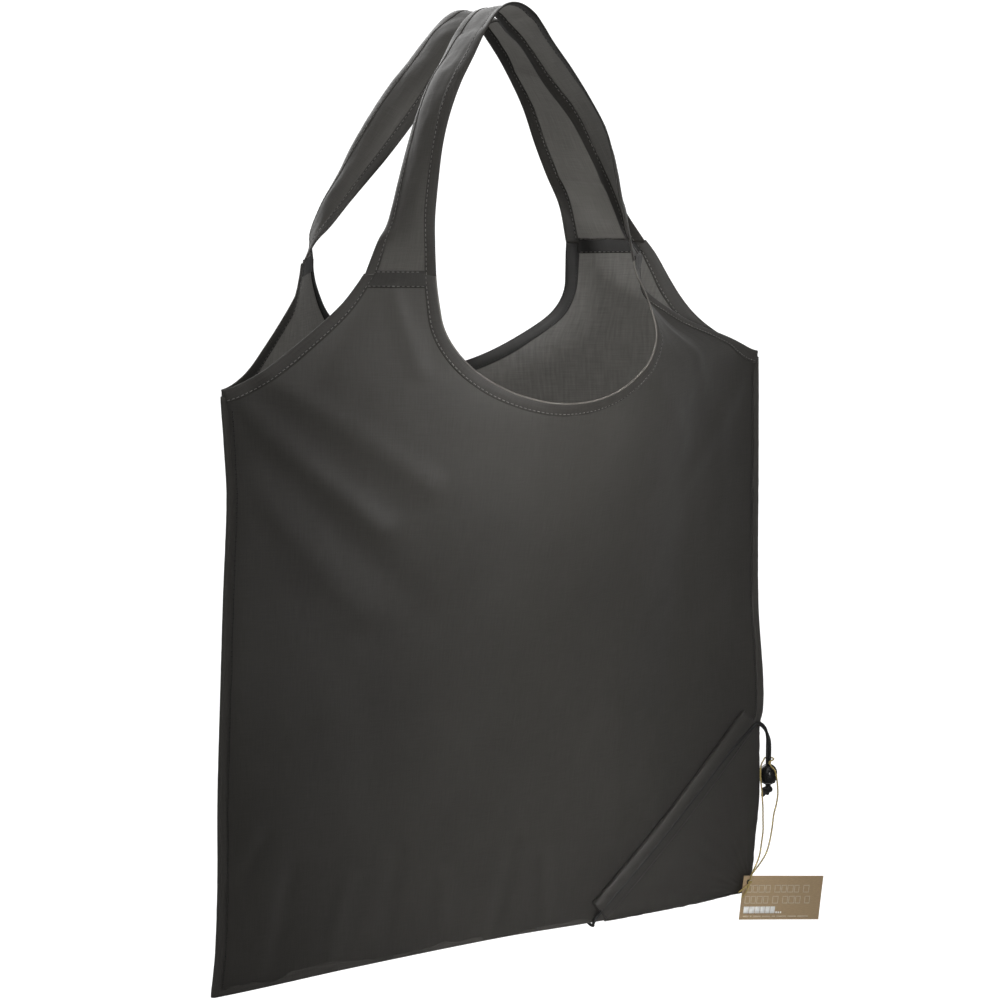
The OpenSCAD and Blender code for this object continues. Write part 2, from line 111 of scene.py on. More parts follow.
# ---- Lines ----

def spline(points, steps):
    """Catmull-Rom line through points, with steps parts between each two"""
    pts = [Vector(p) for p in points]
    pts = [2 * pts[0] - pts[1]] + pts + [2 * pts[-1] - pts[-2]]
    line = []
    for a, b, c, d in zip(pts, pts[1:], pts[2:], pts[3:]):
        for k in range(steps):
            t = k / steps
            line.append(0.5 * (2 * b + (c - a) * t + (2 * a - 5 * b + 4 * c - d) * t * t
                               + (3 * b - a - 3 * c + d) * t ** 3))
    return line + [pts[-2]]


def lengths(line):
    total = [0.0]
    for a, b in zip(line, line[1:]):
        total.append(total[-1] + (b - a).length)
    return total


def sampled(line, count):
    """count + 1 points at equal distances along a line"""
    run = lengths(line)
    out, k = [], 0
    for i in range(count + 1):
        want = run[-1] * i / count
        while k < len(line) - 2 and run[k + 1] < want:
            k += 1
        out.append(line[k].lerp(line[k + 1], clamp((want - run[k]) / max(run[k + 1] - run[k], 1e-9))))
    return out


def headings(line):
    last = len(line) - 1
    return [(line[min(i + 1, last)] - line[max(i - 1, 0)]).normalized() for i in range(last + 1)]


# ---- Mesh building ----

class Builder:
    """Collects vertices in bag mm, faces with their material number, and weave UVs in mm"""

    def __init__(self):
        self.points, self.uvs, self.faces, self.numbers = [], [], [], []

    def add(self, points, faces, number=0, uvs=None):
        base = len(self.points)
        self.points += points
        self.uvs += uvs or [(p[0], p[2]) for p in points]
        self.faces += [tuple(base + i for i in f) for f in faces]
        self.numbers += number if isinstance(number, list) else [number] * len(faces)

    def build(self, name, materials):
        mesh = bpy.data.meshes.new(name)
        mesh.from_pydata([place(p) for p in self.points], [], self.faces)
        layer = mesh.uv_layers.new(name="weave")
        for loop in mesh.loops:
            layer.data[loop.index].uv = self.uvs[loop.vertex_index]
        for m in materials:
            mesh.materials.append(m)
        for polygon, number in zip(mesh.polygons, self.numbers):
            polygon.material_index = number
            polygon.use_smooth = True
        obj = bpy.data.objects.new(name, mesh)
        bpy.context.scene.collection.objects.link(obj)
        return obj


def quads(across, rows):
    return [(j * across + i, j * across + i + 1, (j + 1) * across + i + 1, (j + 1) * across + i)
            for j in range(rows - 1) for i in range(across - 1)]


def rings_closed(builder, rings, uvs=None, by_side=None):
    """A closed skin over rings of equal size, with a cap on each end. by_side holds a material
    number for each strip of faces along the rings."""
    n, m = len(rings[0]), len(rings)
    faces, numbers = [], []
    for j in range(m - 1):
        for i in range(n):
            k = (i + 1) % n
            faces.append((j * n + i, j * n + k, (j + 1) * n + k, (j + 1) * n + i))
            numbers.append(by_side[i] if by_side else 0)
    faces += [tuple(reversed(range(n))), tuple(range((m - 1) * n, m * n))]
    numbers += [0, 0]
    builder.add([p for r in rings for p in r], faces, numbers, uvs)


def tube_rings(line, radius, sides, grooves=0, pitch=1.0, ends=1.0):
    """Rings round a line. Grooves are wound round it; ends under 1 thin it towards both ends."""
    turn = headings(line)
    run = lengths(line)
    side = turn[0].cross(Vector((0.13, 0.09, 0.98)))
    if side.length < 0.2:
        side = turn[0].cross(Vector((0.9, 0.1, 0.2)))
    rings, uvs = [], []
    for i, (p, d) in enumerate(zip(line, turn)):
        side = (side - side.dot(d) * d).normalized()
        up = d.cross(side)
        near = min(i, len(line) - 1 - i) / 3
        thin = mix(ends, 1, smooth(near))
        ring = []
        for k in range(sides):
            a = 2 * math.pi * k / sides
            r = radius * thin
            if grooves:
                r *= 1 + 0.13 * math.cos(grooves * a - 2 * math.pi * run[i] / pitch)
            ring.append(p + r * (math.cos(a) * side + math.sin(a) * up))
            uvs.append((radius * a, run[i]))
        rings.append(ring)
    return rings, uvs


# ---- Materials ----

def material(name, base, roughness, specular):
    m = bpy.data.materials.new(name)
    m.use_nodes = True
    shader = m.node_tree.nodes["Principled BSDF"]
    shader.inputs["Base Color"].default_value = (*base, 1)
    shader.inputs["Roughness"].default_value = roughness
    shader.inputs["Specular IOR Level"].default_value = specular
    return m, m.node_tree, shader


def weave_uv(tree):
    uv = tree.nodes.new("ShaderNodeUVMap")
    uv.uv_map = "weave"
    return uv.outputs["UV"]


def textured(tree, scale, detail):
    """Noise over the weave UVs, stretched by scale"""
    stretch = tree.nodes.new("ShaderNodeMapping")
    stretch.inputs["Scale"].default_value = (*scale, 1)
    grain = tree.nodes.new("ShaderNodeTexNoise")
    grain.inputs["Scale"].default_value = 1.0
    grain.inputs["Detail"].default_value = detail
    grain.inputs["Roughness"].default_value = 0.55
    tree.links.new(weave_uv(tree), stretch.inputs["Vector"])
    tree.links.new(stretch.outputs["Vector"], grain.inputs["Vector"])
    return grain.outputs["Fac"]


def combined(tree, how, a, b):
    node = tree.nodes.new("ShaderNodeMath")
    node.operation = how
    for socket, value in zip(node.inputs, (a, b)):
        if isinstance(value, (int, float)):
            socket.default_value = value
        else:
            tree.links.new(value, socket)
    return node.outputs[0]


def weighted(tree, a, share_a, b, share_b):
    """Sum of two values, each times its share"""
    parts = [combined(tree, "MULTIPLY", value, share) for value, share in ((a, share_a), (b, share_b))]
    return combined(tree, "ADD", *parts)


def ranged(tree, value, low, high, to_low, to_high):
    node = tree.nodes.new("ShaderNodeMapRange")
    for name, v in (("From Min", low), ("From Max", high), ("To Min", to_low), ("To Max", to_high)):
        node.inputs[name].default_value = v
    tree.links.new(value, node.inputs["Value"])
    return node.outputs["Result"]


def toned(tree, value, dark, light):
    """A colour between dark and light"""
    ramp = tree.nodes.new("ShaderNodeValToRGB")
    ramp.color_ramp.elements[0].color = (*dark, 1)
    ramp.color_ramp.elements[1].color = (*light, 1)
    tree.links.new(value, ramp.inputs["Fac"])
    return ramp.outputs["Color"]


def painted(tree, shader, value, dark, light):
    """Gives the shader a colour between dark and light"""
    tree.links.new(toned(tree, value, dark, light), shader.inputs["Base Color"])


def bumped(tree, shader, height, strength, distance):
    bump = tree.nodes.new("ShaderNodeBump")
    bump.inputs["Strength"].default_value = strength
    bump.inputs["Distance"].default_value = distance
    tree.links.new(height, bump.inputs["Height"])
    tree.links.new(bump.outputs["Normal"], shader.inputs["Normal"])
    return bump.outputs["Normal"]


def scaled(colour, f):
    return tuple(c * f for c in colour)


def cloth_material(name, base, see_through=0.0, slub=1.0):
    """Fine plain-weave polyester: thick and thin threads both ways, a soft sheen, and some
    light through a single layer. slub is how strongly its threads show."""
    m, tree, shader = material(name, base, 0.5, 0.22)
    warp = textured(tree, (1.6 if slub < 1 else 0.7, 0.06), 3)
    weft = textured(tree, (0.07, 1.6), 3)
    broad = textured(tree, (0.011, 0.008), 2)
    threads = weighted(tree, warp, 0.55, weft, 0.45)
    mottled = weighted(tree, threads, min(0.2 + 0.6 * slub, 0.8), broad, max(0.8 - 0.6 * slub, 0.2))
    shade = ranged(tree, mottled, 0.34, 0.66, 0.0, 1.0)
    painted(tree, shader, shade, scaled(base, 1 - 0.2 * slub), scaled(base, 1 + 0.24 * slub))
    tree.links.new(ranged(tree, shade, 0, 1, 0.6, 0.44), shader.inputs["Roughness"])
    shader.inputs["Sheen Weight"].default_value = 0.06
    shader.inputs["Sheen Roughness"].default_value = 0.45
    normal = bumped(tree, shader, threads, 0.5, 0.00012)
    if see_through:
        through = tree.nodes.new("ShaderNodeBsdfTranslucent")
        tree.links.new(toned(tree, shade, (0.22, 0.21, 0.195), (0.34, 0.33, 0.305)), through.inputs["Color"])
        tree.links.new(normal, through.inputs["Normal"])
        both = tree.nodes.new("ShaderNodeMixShader")
        both.inputs["Fac"].default_value = see_through
        tree.links.new(shader.outputs["BSDF"], both.inputs[1])
        tree.links.new(through.outputs["BSDF"], both.inputs[2])
        tree.links.new(both.outputs["Shader"], tree.nodes["Material Output"].inputs["Surface"])
    return m


def thread_material(name, base):
    m, tree, shader = material(name, base, 0.6, 0.3)
    grain = textured(tree, (2.5, 2.5), 2)
    painted(tree, shader, grain, scaled(base, 0.7), scaled(base, 1.3))
    return m


def cord_material(name, dark, light, pitch, gloss):
    """Strands wound round a cord; the weave UVs run round it and along it"""
    m, tree, shader = material(name, dark, gloss, 0.35)
    wave = tree.nodes.new("ShaderNodeTexWave")
    wave.bands_direction = "DIAGONAL"
    wave.inputs["Scale"].default_value = pitch
    wave.inputs["Distortion"].default_value = 0.6
    tree.links.new(weave_uv(tree), wave.inputs["Vector"])
    painted(tree, shader, wave.outputs["Fac"], dark, light)
    bumped(tree, shader, wave.outputs["Fac"], 0.5, 0.0002)
    return m


def object_grain(tree, scale, detail):
    coordinates = tree.nodes.new("ShaderNodeTexCoord")
    grain = tree.nodes.new("ShaderNodeTexNoise")
    grain.inputs["Scale"].default_value = scale
    grain.inputs["Detail"].default_value = detail
    tree.links.new(coordinates.outputs["Object"], grain.inputs["Vector"])
    return grain.outputs["Fac"]


def plastic_material(name, base, roughness):
    m, tree, shader = material(name, base, roughness, 0.22)
    grain = object_grain(tree, 900, 3)
    painted(tree, shader, grain, scaled(base, 0.8), scaled(base, 1.35))
    worn = ranged(tree, grain, 0.3, 0.7, roughness * 0.8, roughness * 1.5)
    tree.links.new(worn, shader.inputs["Roughness"])
    bumped(tree, shader, grain, 0.05, 0.0001)
    shader.inputs["Coat Weight"].default_value = 0.12
    shader.inputs["Coat Roughness"].default_value = 0.08
    return m


def steel_material(name):
    m, tree, shader = material(name, (0.6, 0.6, 0.6), 0.3, 0.5)
    shader.inputs["Metallic"].default_value = 1.0
    grain = object_grain(tree, 2500, 2)
    tree.links.new(ranged(tree, grain, 0.3, 0.7, 0.22, 0.4), shader.inputs["Roughness"])
    return m


def card_material(name, base):
    """Kraft card: long pale and dark fibres over a fine grain"""
    m, tree, shader = material(name, base, 0.8, 0.2)
    fibres = textured(tree, (0.35, 2.2), 4)
    fine = textured(tree, (5, 5), 4)
    both = weighted(tree, fibres, 0.6, fine, 0.4)
    shade = ranged(tree, both, 0.34, 0.66, 0, 1)
    painted(tree, shader, shade, scaled(base, 0.84), scaled(base, 1.16))
    bumped(tree, shader, both, 0.3, 0.0001)
    return m


def ink_material(name, base):
    m, tree, shader = material(name, base, 0.75, 0.2)
    grain = textured(tree, (3, 3), 4)
    painted(tree, shader, ranged(tree, grain, 0.35, 0.6, 0, 1), scaled(base, 0.86), base)
    return m


CLOTH = (0.0270, 0.0252, 0.0226)
PANEL_CLOTH = cloth_material("panel_cloth", CLOTH, 0.17, 0.55)
BACK_CLOTH = cloth_material("back_cloth", scaled(CLOTH, 1.1), 0.24, 1.5)
# Lighter base than the panels though it is the same cloth: painted light shining through the straps' single
# layer, on top of the real see-through share
LIT_THROUGH_STRAP_CLOTH = cloth_material("strap_cloth", scaled(CLOTH, 1.2), 0.26, 0.9)
POUCH_CLOTH = cloth_material("pouch_cloth", scaled(CLOTH, 1.05), 0.04, 0.5)
HEM_CLOTH = cloth_material("hem_cloth", scaled(CLOTH, 1.25))
BAND_CLOTH = cloth_material("band_cloth", scaled(CLOTH, 0.95))
# Far paler than the cloth: painted highlight for the glint along the front neck hem's upper fold
FOLD_HIGHLIGHT_CLOTH = cloth_material("fold_highlight_cloth", scaled(CLOTH, 4.5))
LIGHT_THREAD = thread_material("light_thread", (0.16, 0.155, 0.145))
# Near-black thread, also used as painted shade at the needle holes and in the line inside the side seams
DARK_THREAD_AND_SHADE = thread_material("dark_thread_and_shade", (0.006, 0.006, 0.006))
CORD = cord_material("cord", (0.006, 0.006, 0.006), (0.016, 0.016, 0.016), 0.9, 0.6)
GOLD_STRING = cord_material("tag_string", (0.22, 0.155, 0.04), (0.5, 0.39, 0.14), 0.7, 0.4)
LOCK_PLASTIC = plastic_material("lock_plastic", (0.006, 0.006, 0.006), 0.2)
SPRING_STEEL = steel_material("spring_steel")
KRAFT_CARD = card_material("tag_card", (0.36, 0.262, 0.155))
PALE_INK = ink_material("pale_ink", (0.55, 0.46, 0.34))
WHITE_INK = ink_material("white_ink", (0.9, 0.9, 0.88))
# Far darker than the cloth: painted shade on the back neck hem and back join band, which face into the bag
SHADED_INNER_CLOTH = cloth_material("shaded_inner_hem_cloth", scaled(CLOTH, 0.4))
# The second look paints shade at the needle holes; the fourth paints the highlight on the upper fold
STITCHED = [HEM_CLOTH, DARK_THREAD_AND_SHADE, LIGHT_THREAD, FOLD_HIGHLIGHT_CLOTH]
# Inside the bag the light thread gives way to the dark one: painted shade on the inner stitches
SHADED_INNER_STITCHED = [SHADED_INNER_CLOTH, DARK_THREAD_AND_SHADE, DARK_THREAD_AND_SHADE, SHADED_INNER_CLOTH]


# ---- Shape of the cloth body ----

# The sways, the sag, the shoulders and the strap stations follow the photo: a helper program
# put places picked by eye in it through the fitted camera, and its results were rounded and in
# part moved by hand.

# How far each side edge stands beyond the plain outline, from the bottom up
LEFT_SWAY = [(0, -5.5), (12, -4), (29, -2), (71, 0), (125, 0.5), (189, 2.5), (251, 4.3), (314, 6.3), (345, 4),
             (376, 1.3)]
RIGHT_SWAY = [(0, -9), (5, -7.5), (12, -5), (41, -2), (68, 0.8), (116, 0.9), (127, 4), (148, 4.3), (205, 0),
              (308, 0.8), (376, 1.6)]
# How far the bottom edge stands above the plain outline, from left to right
BOTTOM_SAG = [(-210, -1.5), (-111, 0.8), (0, 1.8), (80, 0), (160, 0), (210, 1.5)]
# How far the upper left corner stands up
CORNER_LIFT = 6
# Shifts of the shoulders: (side, hand) to tables over the height for the neck edge and the
# armhole edge, and how far the armhole edge moves away from the centre plane
SHOULDERS = {
    (FRONT, 1): ([(392, 0), (426, -11), (450, -21)],
                 [(380, 0), (406, -26), (425, -43), (440, -47), (453, -45)], -4),
    (FRONT, -1): ([(400, 0), (450, -4)], [(400, 0), (450, 6)], 0),
    (BACK, -1): ([(385, 0), (450, -22)], [(400, 0), (450, 1)], 0),
    (BACK, 1): ([(380, 2), (404, 10), (450, 9)], [(390, 0), (450, 9)], 0),
}
# Creases of each side: ends (x, z), height and width
CREASES = {
    FRONT: [
        (-198, 370, -112, 292, 2.4, 8), (-176, 386, -84, 318, 2.0, 9), (-190, 322, -118, 238, 1.6, 10),
        (-150, 300, -70, 226, -1.5, 12), (-192, 262, -150, 170, 1.6, 9), (-120, 205, -96, 70, 1.5, 14),
        (86, 352, 82, 60, 2.0, 26), (44, 358, 50, 110, -1.3, 18), (130, 352, 124, 150, -1.2, 16),
        (-22, 352, -14, 90, 1.5, 22), (-58, 340, -52, 150, -1.3, 14), (166, 340, 170, 190, 0.8, 10),
        (198, 366, 128, 300, 1.0, 8), (62, 386, 116, 330, 0.8, 8), (120, 400, 138, 360, 0.8, 6),
        (-172, 6, -160, 70, 1.3, 6), (-132, 4, -120, 60, -1.2, 6), (-92, 4, -86, 74, 1.4, 7),
        (-46, 4, -50, 52, -1.2, 6), (-8, 4, 2, 66, 1.3, 6), (34, 4, 28, 54, -1.2, 6),
        (-204, 60, -178, 96, 1.2, 6),
        (-110, 440, -96, 392, 1.4, 6), (-128, 430, -150, 384, -1.2, 7),
    ],
    BACK: [
        (-196, 366, -120, 296, 2.2, 9), (190, 372, 100, 300, 2.2, 9), (-70, 350, -62, 80, 2.6, 22),
        (18, 356, 26, 120, -2.0, 16), (96, 340, 104, 90, 2.2, 18), (-140, 320, -130, 120, -1.8, 14),
        (160, 260, 120, 150, 1.5, 10), (-60, 4, -54, 66, 1.3, 7), (20, 4, 30, 60, -1.2, 6),
        (-150, 4, -140, 62, 1.2, 6),
        (52, 352, 56, 180, 1.2, 8), (-30, 356, -34, 200, -1.1, 8),
    ],
}
CHANNEL_UP, CHANNEL_LOW = Vector((201.5, 124)), Vector((77, 7.5))
CHANNEL_DIR = (CHANNEL_LOW - CHANNEL_UP).normalized()
CHANNEL_SIDE = Vector((-CHANNEL_DIR.y, CHANNEL_DIR.x))


def side_x(z):
    return HALF_W - MOUTH_PULL * (clamp(z, 0, BODY_H) / BODY_H) ** 2


def bulge(z):
    rising = MOUTH_BULGE * (max(z, 0) / NECK_Z) ** 1.2
    falling = MOUTH_BULGE + 3 - (MOUTH_BULGE + 3 - JOIN_BULGE) * (z - NECK_Z) / (JOIN_MID - NECK_Z)
    return (rising + falling - math.hypot(rising - falling, 9)) / 2 + 0.12


def shoulder(x, z, side):
    neck, arm, out = SHOULDERS[side, 1 if x > 0 else -1]
    k = smooth((abs(x) - 40) / (JOIN_IN - 40)) if abs(x) < JOIN_IN else 1
    outer = clamp((abs(x) - JOIN_IN) / (JOIN_OUT - JOIN_IN), 0, 1.3)
    dx = k * mix(along(neck, z), along(arm, z), outer)
    dy = side * -out * outer * smooth((z - 385) / 45)
    return dx, dy


def shape(x, z, side):
    """Place of the cloth at x across and z up, before wrinkles"""
    reach = side_x(z)
    u = clamp(abs(x) / reach)
    y = side * (EDGE_Y + bulge(z) * math.cos(math.pi / 2 * u) ** 1.5)
    sway = along(RIGHT_SWAY if x > 0 else LEFT_SWAY, z) * u ** 3
    dx, dy = shoulder(x, z, side)
    sag = along(BOTTOM_SAG, x) * (1 - smooth(z / 70))
    lift = CORNER_LIFT * smooth((z - 310) / 66) * (1 - smooth((z - 384) / 50)) * u ** 3 if x < 0 else 0
    return Vector((x + sway + dx, y + dy, z + sag + lift))


def over_channel(x, z):
    """Distance of a point above the pouch's channel, negative over the pouch itself"""
    return -(Vector((x, z)) - CHANNEL_UP).dot(CHANNEL_SIDE)


def crease(x, z, line):
    x0, z0, x1, z1, height, width = line
    dx, dz = x1 - x0, z1 - z0
    t = clamp(((x - x0) * dx + (z - z0) * dz) / (dx * dx + dz * dz))
    away = math.hypot(x - x0 - t * dx, z - z0 - t * dz)
    if away > 3 * width:
        return 0
    return height * math.exp(-(away / width) ** 2)


def relief(x, z, side):
    """How far the cloth stands out from its plain shape"""
    edge = side_x(z) - abs(x)
    calm = smooth(edge / 26) * smooth((z + 12) / 30) * smooth((over_channel(x, z) - 4) / 30)
    broad = 1.7 * ripple(x, z, 3.1 * side, 90, 130) + 0.8 * ripple(x, z, 7.7 * side, 34, 46)
    broad += sum(crease(x, z, c) for c in CREASES[side])
    fine = 0.2 * ripple(x, z, 11.3 * side, 10, 13) * smooth(edge / 8)
    pucker = 0.5 * math.exp(-max(edge, 0) / 7) * ripple(x, z, 5.5 * side, 40, 6) * smooth(edge / 2.5)
    foot = 0.5 * math.exp(-z / 9) * ripple(x, z, 9.2 * side, 7, 30) * smooth(z / 3)
    return calm * broad + fine + pucker + foot


def surface(x, z, side, out=0.0):
    """A point of the wrinkled cloth, or one that stands out from it"""
    p = shape(x, z, side)
    across = shape(x + 0.5, z, side) - shape(x - 0.5, z, side)
    upward = shape(x, z + 0.5, side) - shape(x, z - 0.5, side)
    n = across.cross(upward).normalized() * -side
    return p + n * (relief(x, z, side) + out)


# ---- Edges of the flat cloth, as (x, z), left half ----

def armhole(t, inset=0.0):
    a, b = Vector((-side_x(BODY_H), BODY_H)), Vector(ARMHOLE_BEND)
    c = Vector((-JOIN_OUT - JOIN_FLARE, JOIN_LOW))
    if t > 1:
        return Vector((-JOIN_OUT - JOIN_FLARE * (2 - t) + inset, mix(JOIN_LOW, JOIN_HIGH, t - 1)))
    d = (1 - t) * (b - a) + t * (c - b)
    n = Vector((d.y, -d.x * (1 - t ** 4))).normalized()
    return (1 - t) ** 2 * a + 2 * t * (1 - t) * b + t * t * c + inset * n


def neck(t, inset=0.0):
    if t < NECK_BEND:
        a = math.pi / 2 * t / NECK_BEND
        n = Vector((-math.sin(a) / JOIN_IN, -math.cos(a) / NECK_ROUND)).normalized()
        return Vector((-JOIN_IN * math.sin(a), NECK_Z + NECK_ROUND * (1 - math.cos(a)))) + inset * n
    low = NECK_Z + NECK_ROUND
    top = JOIN_LOW if t <= 1 else JOIN_HIGH
    start, share = (low, (t - NECK_BEND) / (1 - NECK_BEND)) if t <= 1 else (JOIN_LOW, t - 1)
    return Vector((-JOIN_IN - inset, mix(start, top, share)))


# ---- Panels ----

PANEL_COLUMNS = 70
PANEL_ROWS = 128
ARM_ROWS = 58
UNDER_HEM = 0.7


def panel_point(i, j):
    """(x, z) of a point of the left half: column i from the outer edge in, row j from the bottom up"""
    if j <= PANEL_ROWS:
        up = j / PANEL_ROWS
        z = (BODY_H - UNDER_HEM) * up
        outer, inner = Vector((-side_x(z), z)), Vector((0, (NECK_Z - UNDER_HEM) * up))
    else:
        t = 1.5 * (j - PANEL_ROWS) / ARM_ROWS
        outer, inner = armhole(t, UNDER_HEM), neck(t, UNDER_HEM)
    return outer.lerp(inner, i / PANEL_COLUMNS)


def panel(name, side):
    builder = Builder()
    flat, index = [], {}
    for j in range(PANEL_ROWS + ARM_ROWS + 1):
        for hand in (-1, 1):
            for i in range(PANEL_COLUMNS + 1):
                shared = (j, -1, i) if hand == 1 and i == PANEL_COLUMNS and j <= PANEL_ROWS else None
                if shared:
                    index[j, hand, i] = index[shared]
                    continue
                p = panel_point(i, j)
                index[j, hand, i] = len(flat)
                flat.append((-hand * p.x, p.y))
    faces = []
    for j in range(PANEL_ROWS + ARM_ROWS):
        for hand in (-1, 1):
            for i in range(PANEL_COLUMNS):
                places = ((j, i), (j, i + 1), (j + 1, i + 1), (j + 1, i))
                face = [index[row, hand, column] for row, column in places]
                faces.append(tuple(face if hand * side == 1 else reversed(face)))
    builder.add([surface(x, z, side) for x, z in flat], faces, uvs=flat)
    return builder.build(name, [PANEL_CLOTH if side == FRONT else BACK_CLOTH])


# ---- Hems and stitches ----

# Half section of a hem: distance from the edge and height over the cloth's middle
HEM_PROFILE = [(-0.25, 0.0), (0.0, 0.4), (0.6, 0.62), (2.6, 0.7), (5.2, 0.6), (6.2, 0.46), (STITCH_IN, 0.38),
               (7.3, 0.5), (8.0, 0.26)]


def two_faced(half, other):
    """A section's upper half and, mirrored below it, the other given points"""
    return half + [(d, -h) for d, h in reversed(other)]


def hem_strip(builder, count, spot, mirrored=False, highlight_fold=False, seed=1.0):
    """A closed hem along an edge. spot(k, d, h) is the place at step k, d in from the edge
    and h above the cloth. A fold marked for it gets a painted highlight: its upper edge takes a pale
    material."""
    section = two_faced(HEM_PROFILE, HEM_PROFILE[1:])
    rings, uvs = [], []
    for k in range(count + 1):
        puff = 1 + 0.22 * ripple(k, 0, seed, 3.1, 1)
        rings.append([spot(k, d, h * puff) for d, h in section])
        uvs += [(d, 2.2 * k) for d, h in section]
    if mirrored:
        rings = [list(reversed(r)) for r in rings]
        uvs = [uvs[k * len(section) + i] for k in range(count + 1) for i in reversed(range(len(section)))]
    by_side = None
    # Painted highlight: the faces along the fold's upper edge take the pale fold material
    if highlight_fold:
        by_side = [3 if i < 2 or i > len(section) - 2 else 0 for i in range(len(section))]
        if mirrored:
            by_side = [3 if i > len(section) - 4 else 0 for i in range(len(section))]
    rings_closed(builder, rings, uvs=uvs, by_side=by_side)


def dash(builder, a, b, n, width, height, number):
    """One stitch from a to b, lying on a surface with normal n"""
    d = (b - a).normalized()
    w = n.cross(d).normalized() * width / 2
    low, high = n * -0.12, n * height
    inner = d * min(0.25, (b - a).length / 4)
    points = [a - w + low, a + w + low, b + w + low, b - w + low,
              a - w * 0.5 + high + inner, a + w * 0.5 + high + inner,
              b + w * 0.5 + high - inner, b - w * 0.5 + high - inner]
    faces = [(3, 2, 1, 0), (4, 5, 6, 7), (0, 1, 5, 4), (1, 2, 6, 5), (2, 3, 7, 6), (3, 0, 4, 7)]
    builder.add(points, faces, number)


def stitches(builder, line, normals, light=2, dark=1, size=0.42, rise=0.2):
    """Dashes of light thread with dark dashes between them, painted shade at the needle holes, by material
    numbers
    """
    run = lengths(line)
    k = 0

    def at(s):
        nonlocal k
        while k < len(line) - 2 and run[k + 1] < s:
            k += 1
        while k > 0 and run[k] > s:
            k -= 1
        t = clamp((s - run[k]) / max(run[k + 1] - run[k], 1e-6))
        return line[k].lerp(line[k + 1], t), normals[k].lerp(normals[k + 1], t).normalized()

    s = STITCH_PITCH * 0.3
    step = 0
    while s + STITCH_PITCH < run[-1]:
        wide = size * (1 + 0.3 * ripple(step, 0, 2.3, 1.7, 1))
        (a, n), (b, _) = at(s), at(s + 0.6 * STITCH_PITCH)
        dash(builder, a, b, n, wide, rise, light)
        # Painted shade: a dark dash where the thread dips into the cloth between stitches
        (a, n), (b, _) = at(s + 0.62 * STITCH_PITCH), at(s + 0.98 * STITCH_PITCH)
        dash(builder, a, b, n, wide * 1.25, rise * 0.5, dark)
        s += STITCH_PITCH
        step += 1


def seam_line(spot, count, d, height):
    """A line at distance d in from an edge on each face of a hem, with its normals"""
    for face in (1, -1):
        line = [spot(k, d, face * height) for k in range(count + 1)]
        base = [spot(k, d, 0) for k in range(count + 1)]
        yield line, [(p - q).normalized() for p, q in zip(line, base)]


def cloth_hem(builder, edges, side, mirrored, highlight_fold=False, seed=1.0):
    """Hem along (edge, inner) pairs of flat points"""
    def spot(k, d, h):
        edge, inner = edges[k]
        p = edge.lerp(inner, d / HEM_W)
        return surface(p.x, p.y, side, h)
    count = len(edges) - 1
    hem_strip(builder, count, spot, mirrored, highlight_fold, seed)
    for line, normals in seam_line(spot, count, STITCH_IN, 0.42):
        stitches(builder, line, normals)


def flat_run(edge, last, count):
    """Pairs of flat points along an edge and along its hem's inner side, evenly spaced"""
    fine = [edge(last * k / 400, 0) for k in range(401)]
    run = lengths([Vector((*p, 0)) for p in fine])
    pairs, k = [], 0
    for i in range(count + 1):
        want = run[-1] * i / count
        while k < 399 and run[k + 1] < want:
            k += 1
        t = last * (k + clamp((want - run[k]) / max(run[k + 1] - run[k], 1e-9))) / 400
        pairs.append((edge(t, 0), edge(t, HEM_W)))
    return pairs


def flip(p):
    return Vector((-p.x, p.y))


def neck_hem(name, side):
    half = flat_run(neck, 1.8, 68)
    edges = list(reversed(half)) + [(flip(a), flip(b)) for a, b in half[1:]]
    builder = Builder()
    cloth_hem(builder, edges, side, side == BACK, highlight_fold=side == FRONT, seed=4.0 + side)
    # The back neck hem faces into the bag and takes the painted shade
    return builder.build(name, STITCHED if side == FRONT else SHADED_INNER_STITCHED)


def armhole_hems(name, side):
    half = flat_run(armhole, 1.85, 52)
    builder = Builder()
    cloth_hem(builder, half, side, side == FRONT, seed=6.0 + side)
    cloth_hem(builder, [(flip(a), flip(b)) for a, b in half], side, side == BACK, seed=9.0 + side)
    return builder.build(name, STITCHED)


def join_bands(name, side):
    """Stitched strips across the strap joins, under the hems at both ends"""
    builder = Builder()
    for hand in (-1, 1):
        across = 26
        heights = [(0, 0.1), (0.3, 0.5), (1.2, 0.56), (5, 0.6), (9, 0.56), (10.2, 0.5), (10.5, 0.1)]
        section = two_faced(heights, heights)

        def spot(k, d, h):
            outer = JOIN_OUT + JOIN_FLARE * (1 - d / 10) - HEM_W + 1.5
            x = hand * mix(outer, JOIN_IN + HEM_W - 1.5, k / across)
            return surface(x, JOIN_LOW + d, side, h)
        rings = [[spot(k, d, h) for d, h in section] for k in range(across + 1)]
        if hand * side > 0:
            rings = [list(reversed(r)) for r in rings]
        rings_closed(builder, rings, uvs=[(2 * k, d) for k in range(across + 1) for d, h in section])
        for d in (0.9, 9.6):
            for line, normals in seam_line(spot, across, d, 0.5):
                stitches(builder, line, normals)
    # The back band faces into the bag and takes the painted shade
    return builder.build(name, [BAND_CLOTH if side == FRONT else SHADED_INNER_CLOTH, DARK_THREAD_AND_SHADE, LIGHT_THREAD])


# ---- Handles ----

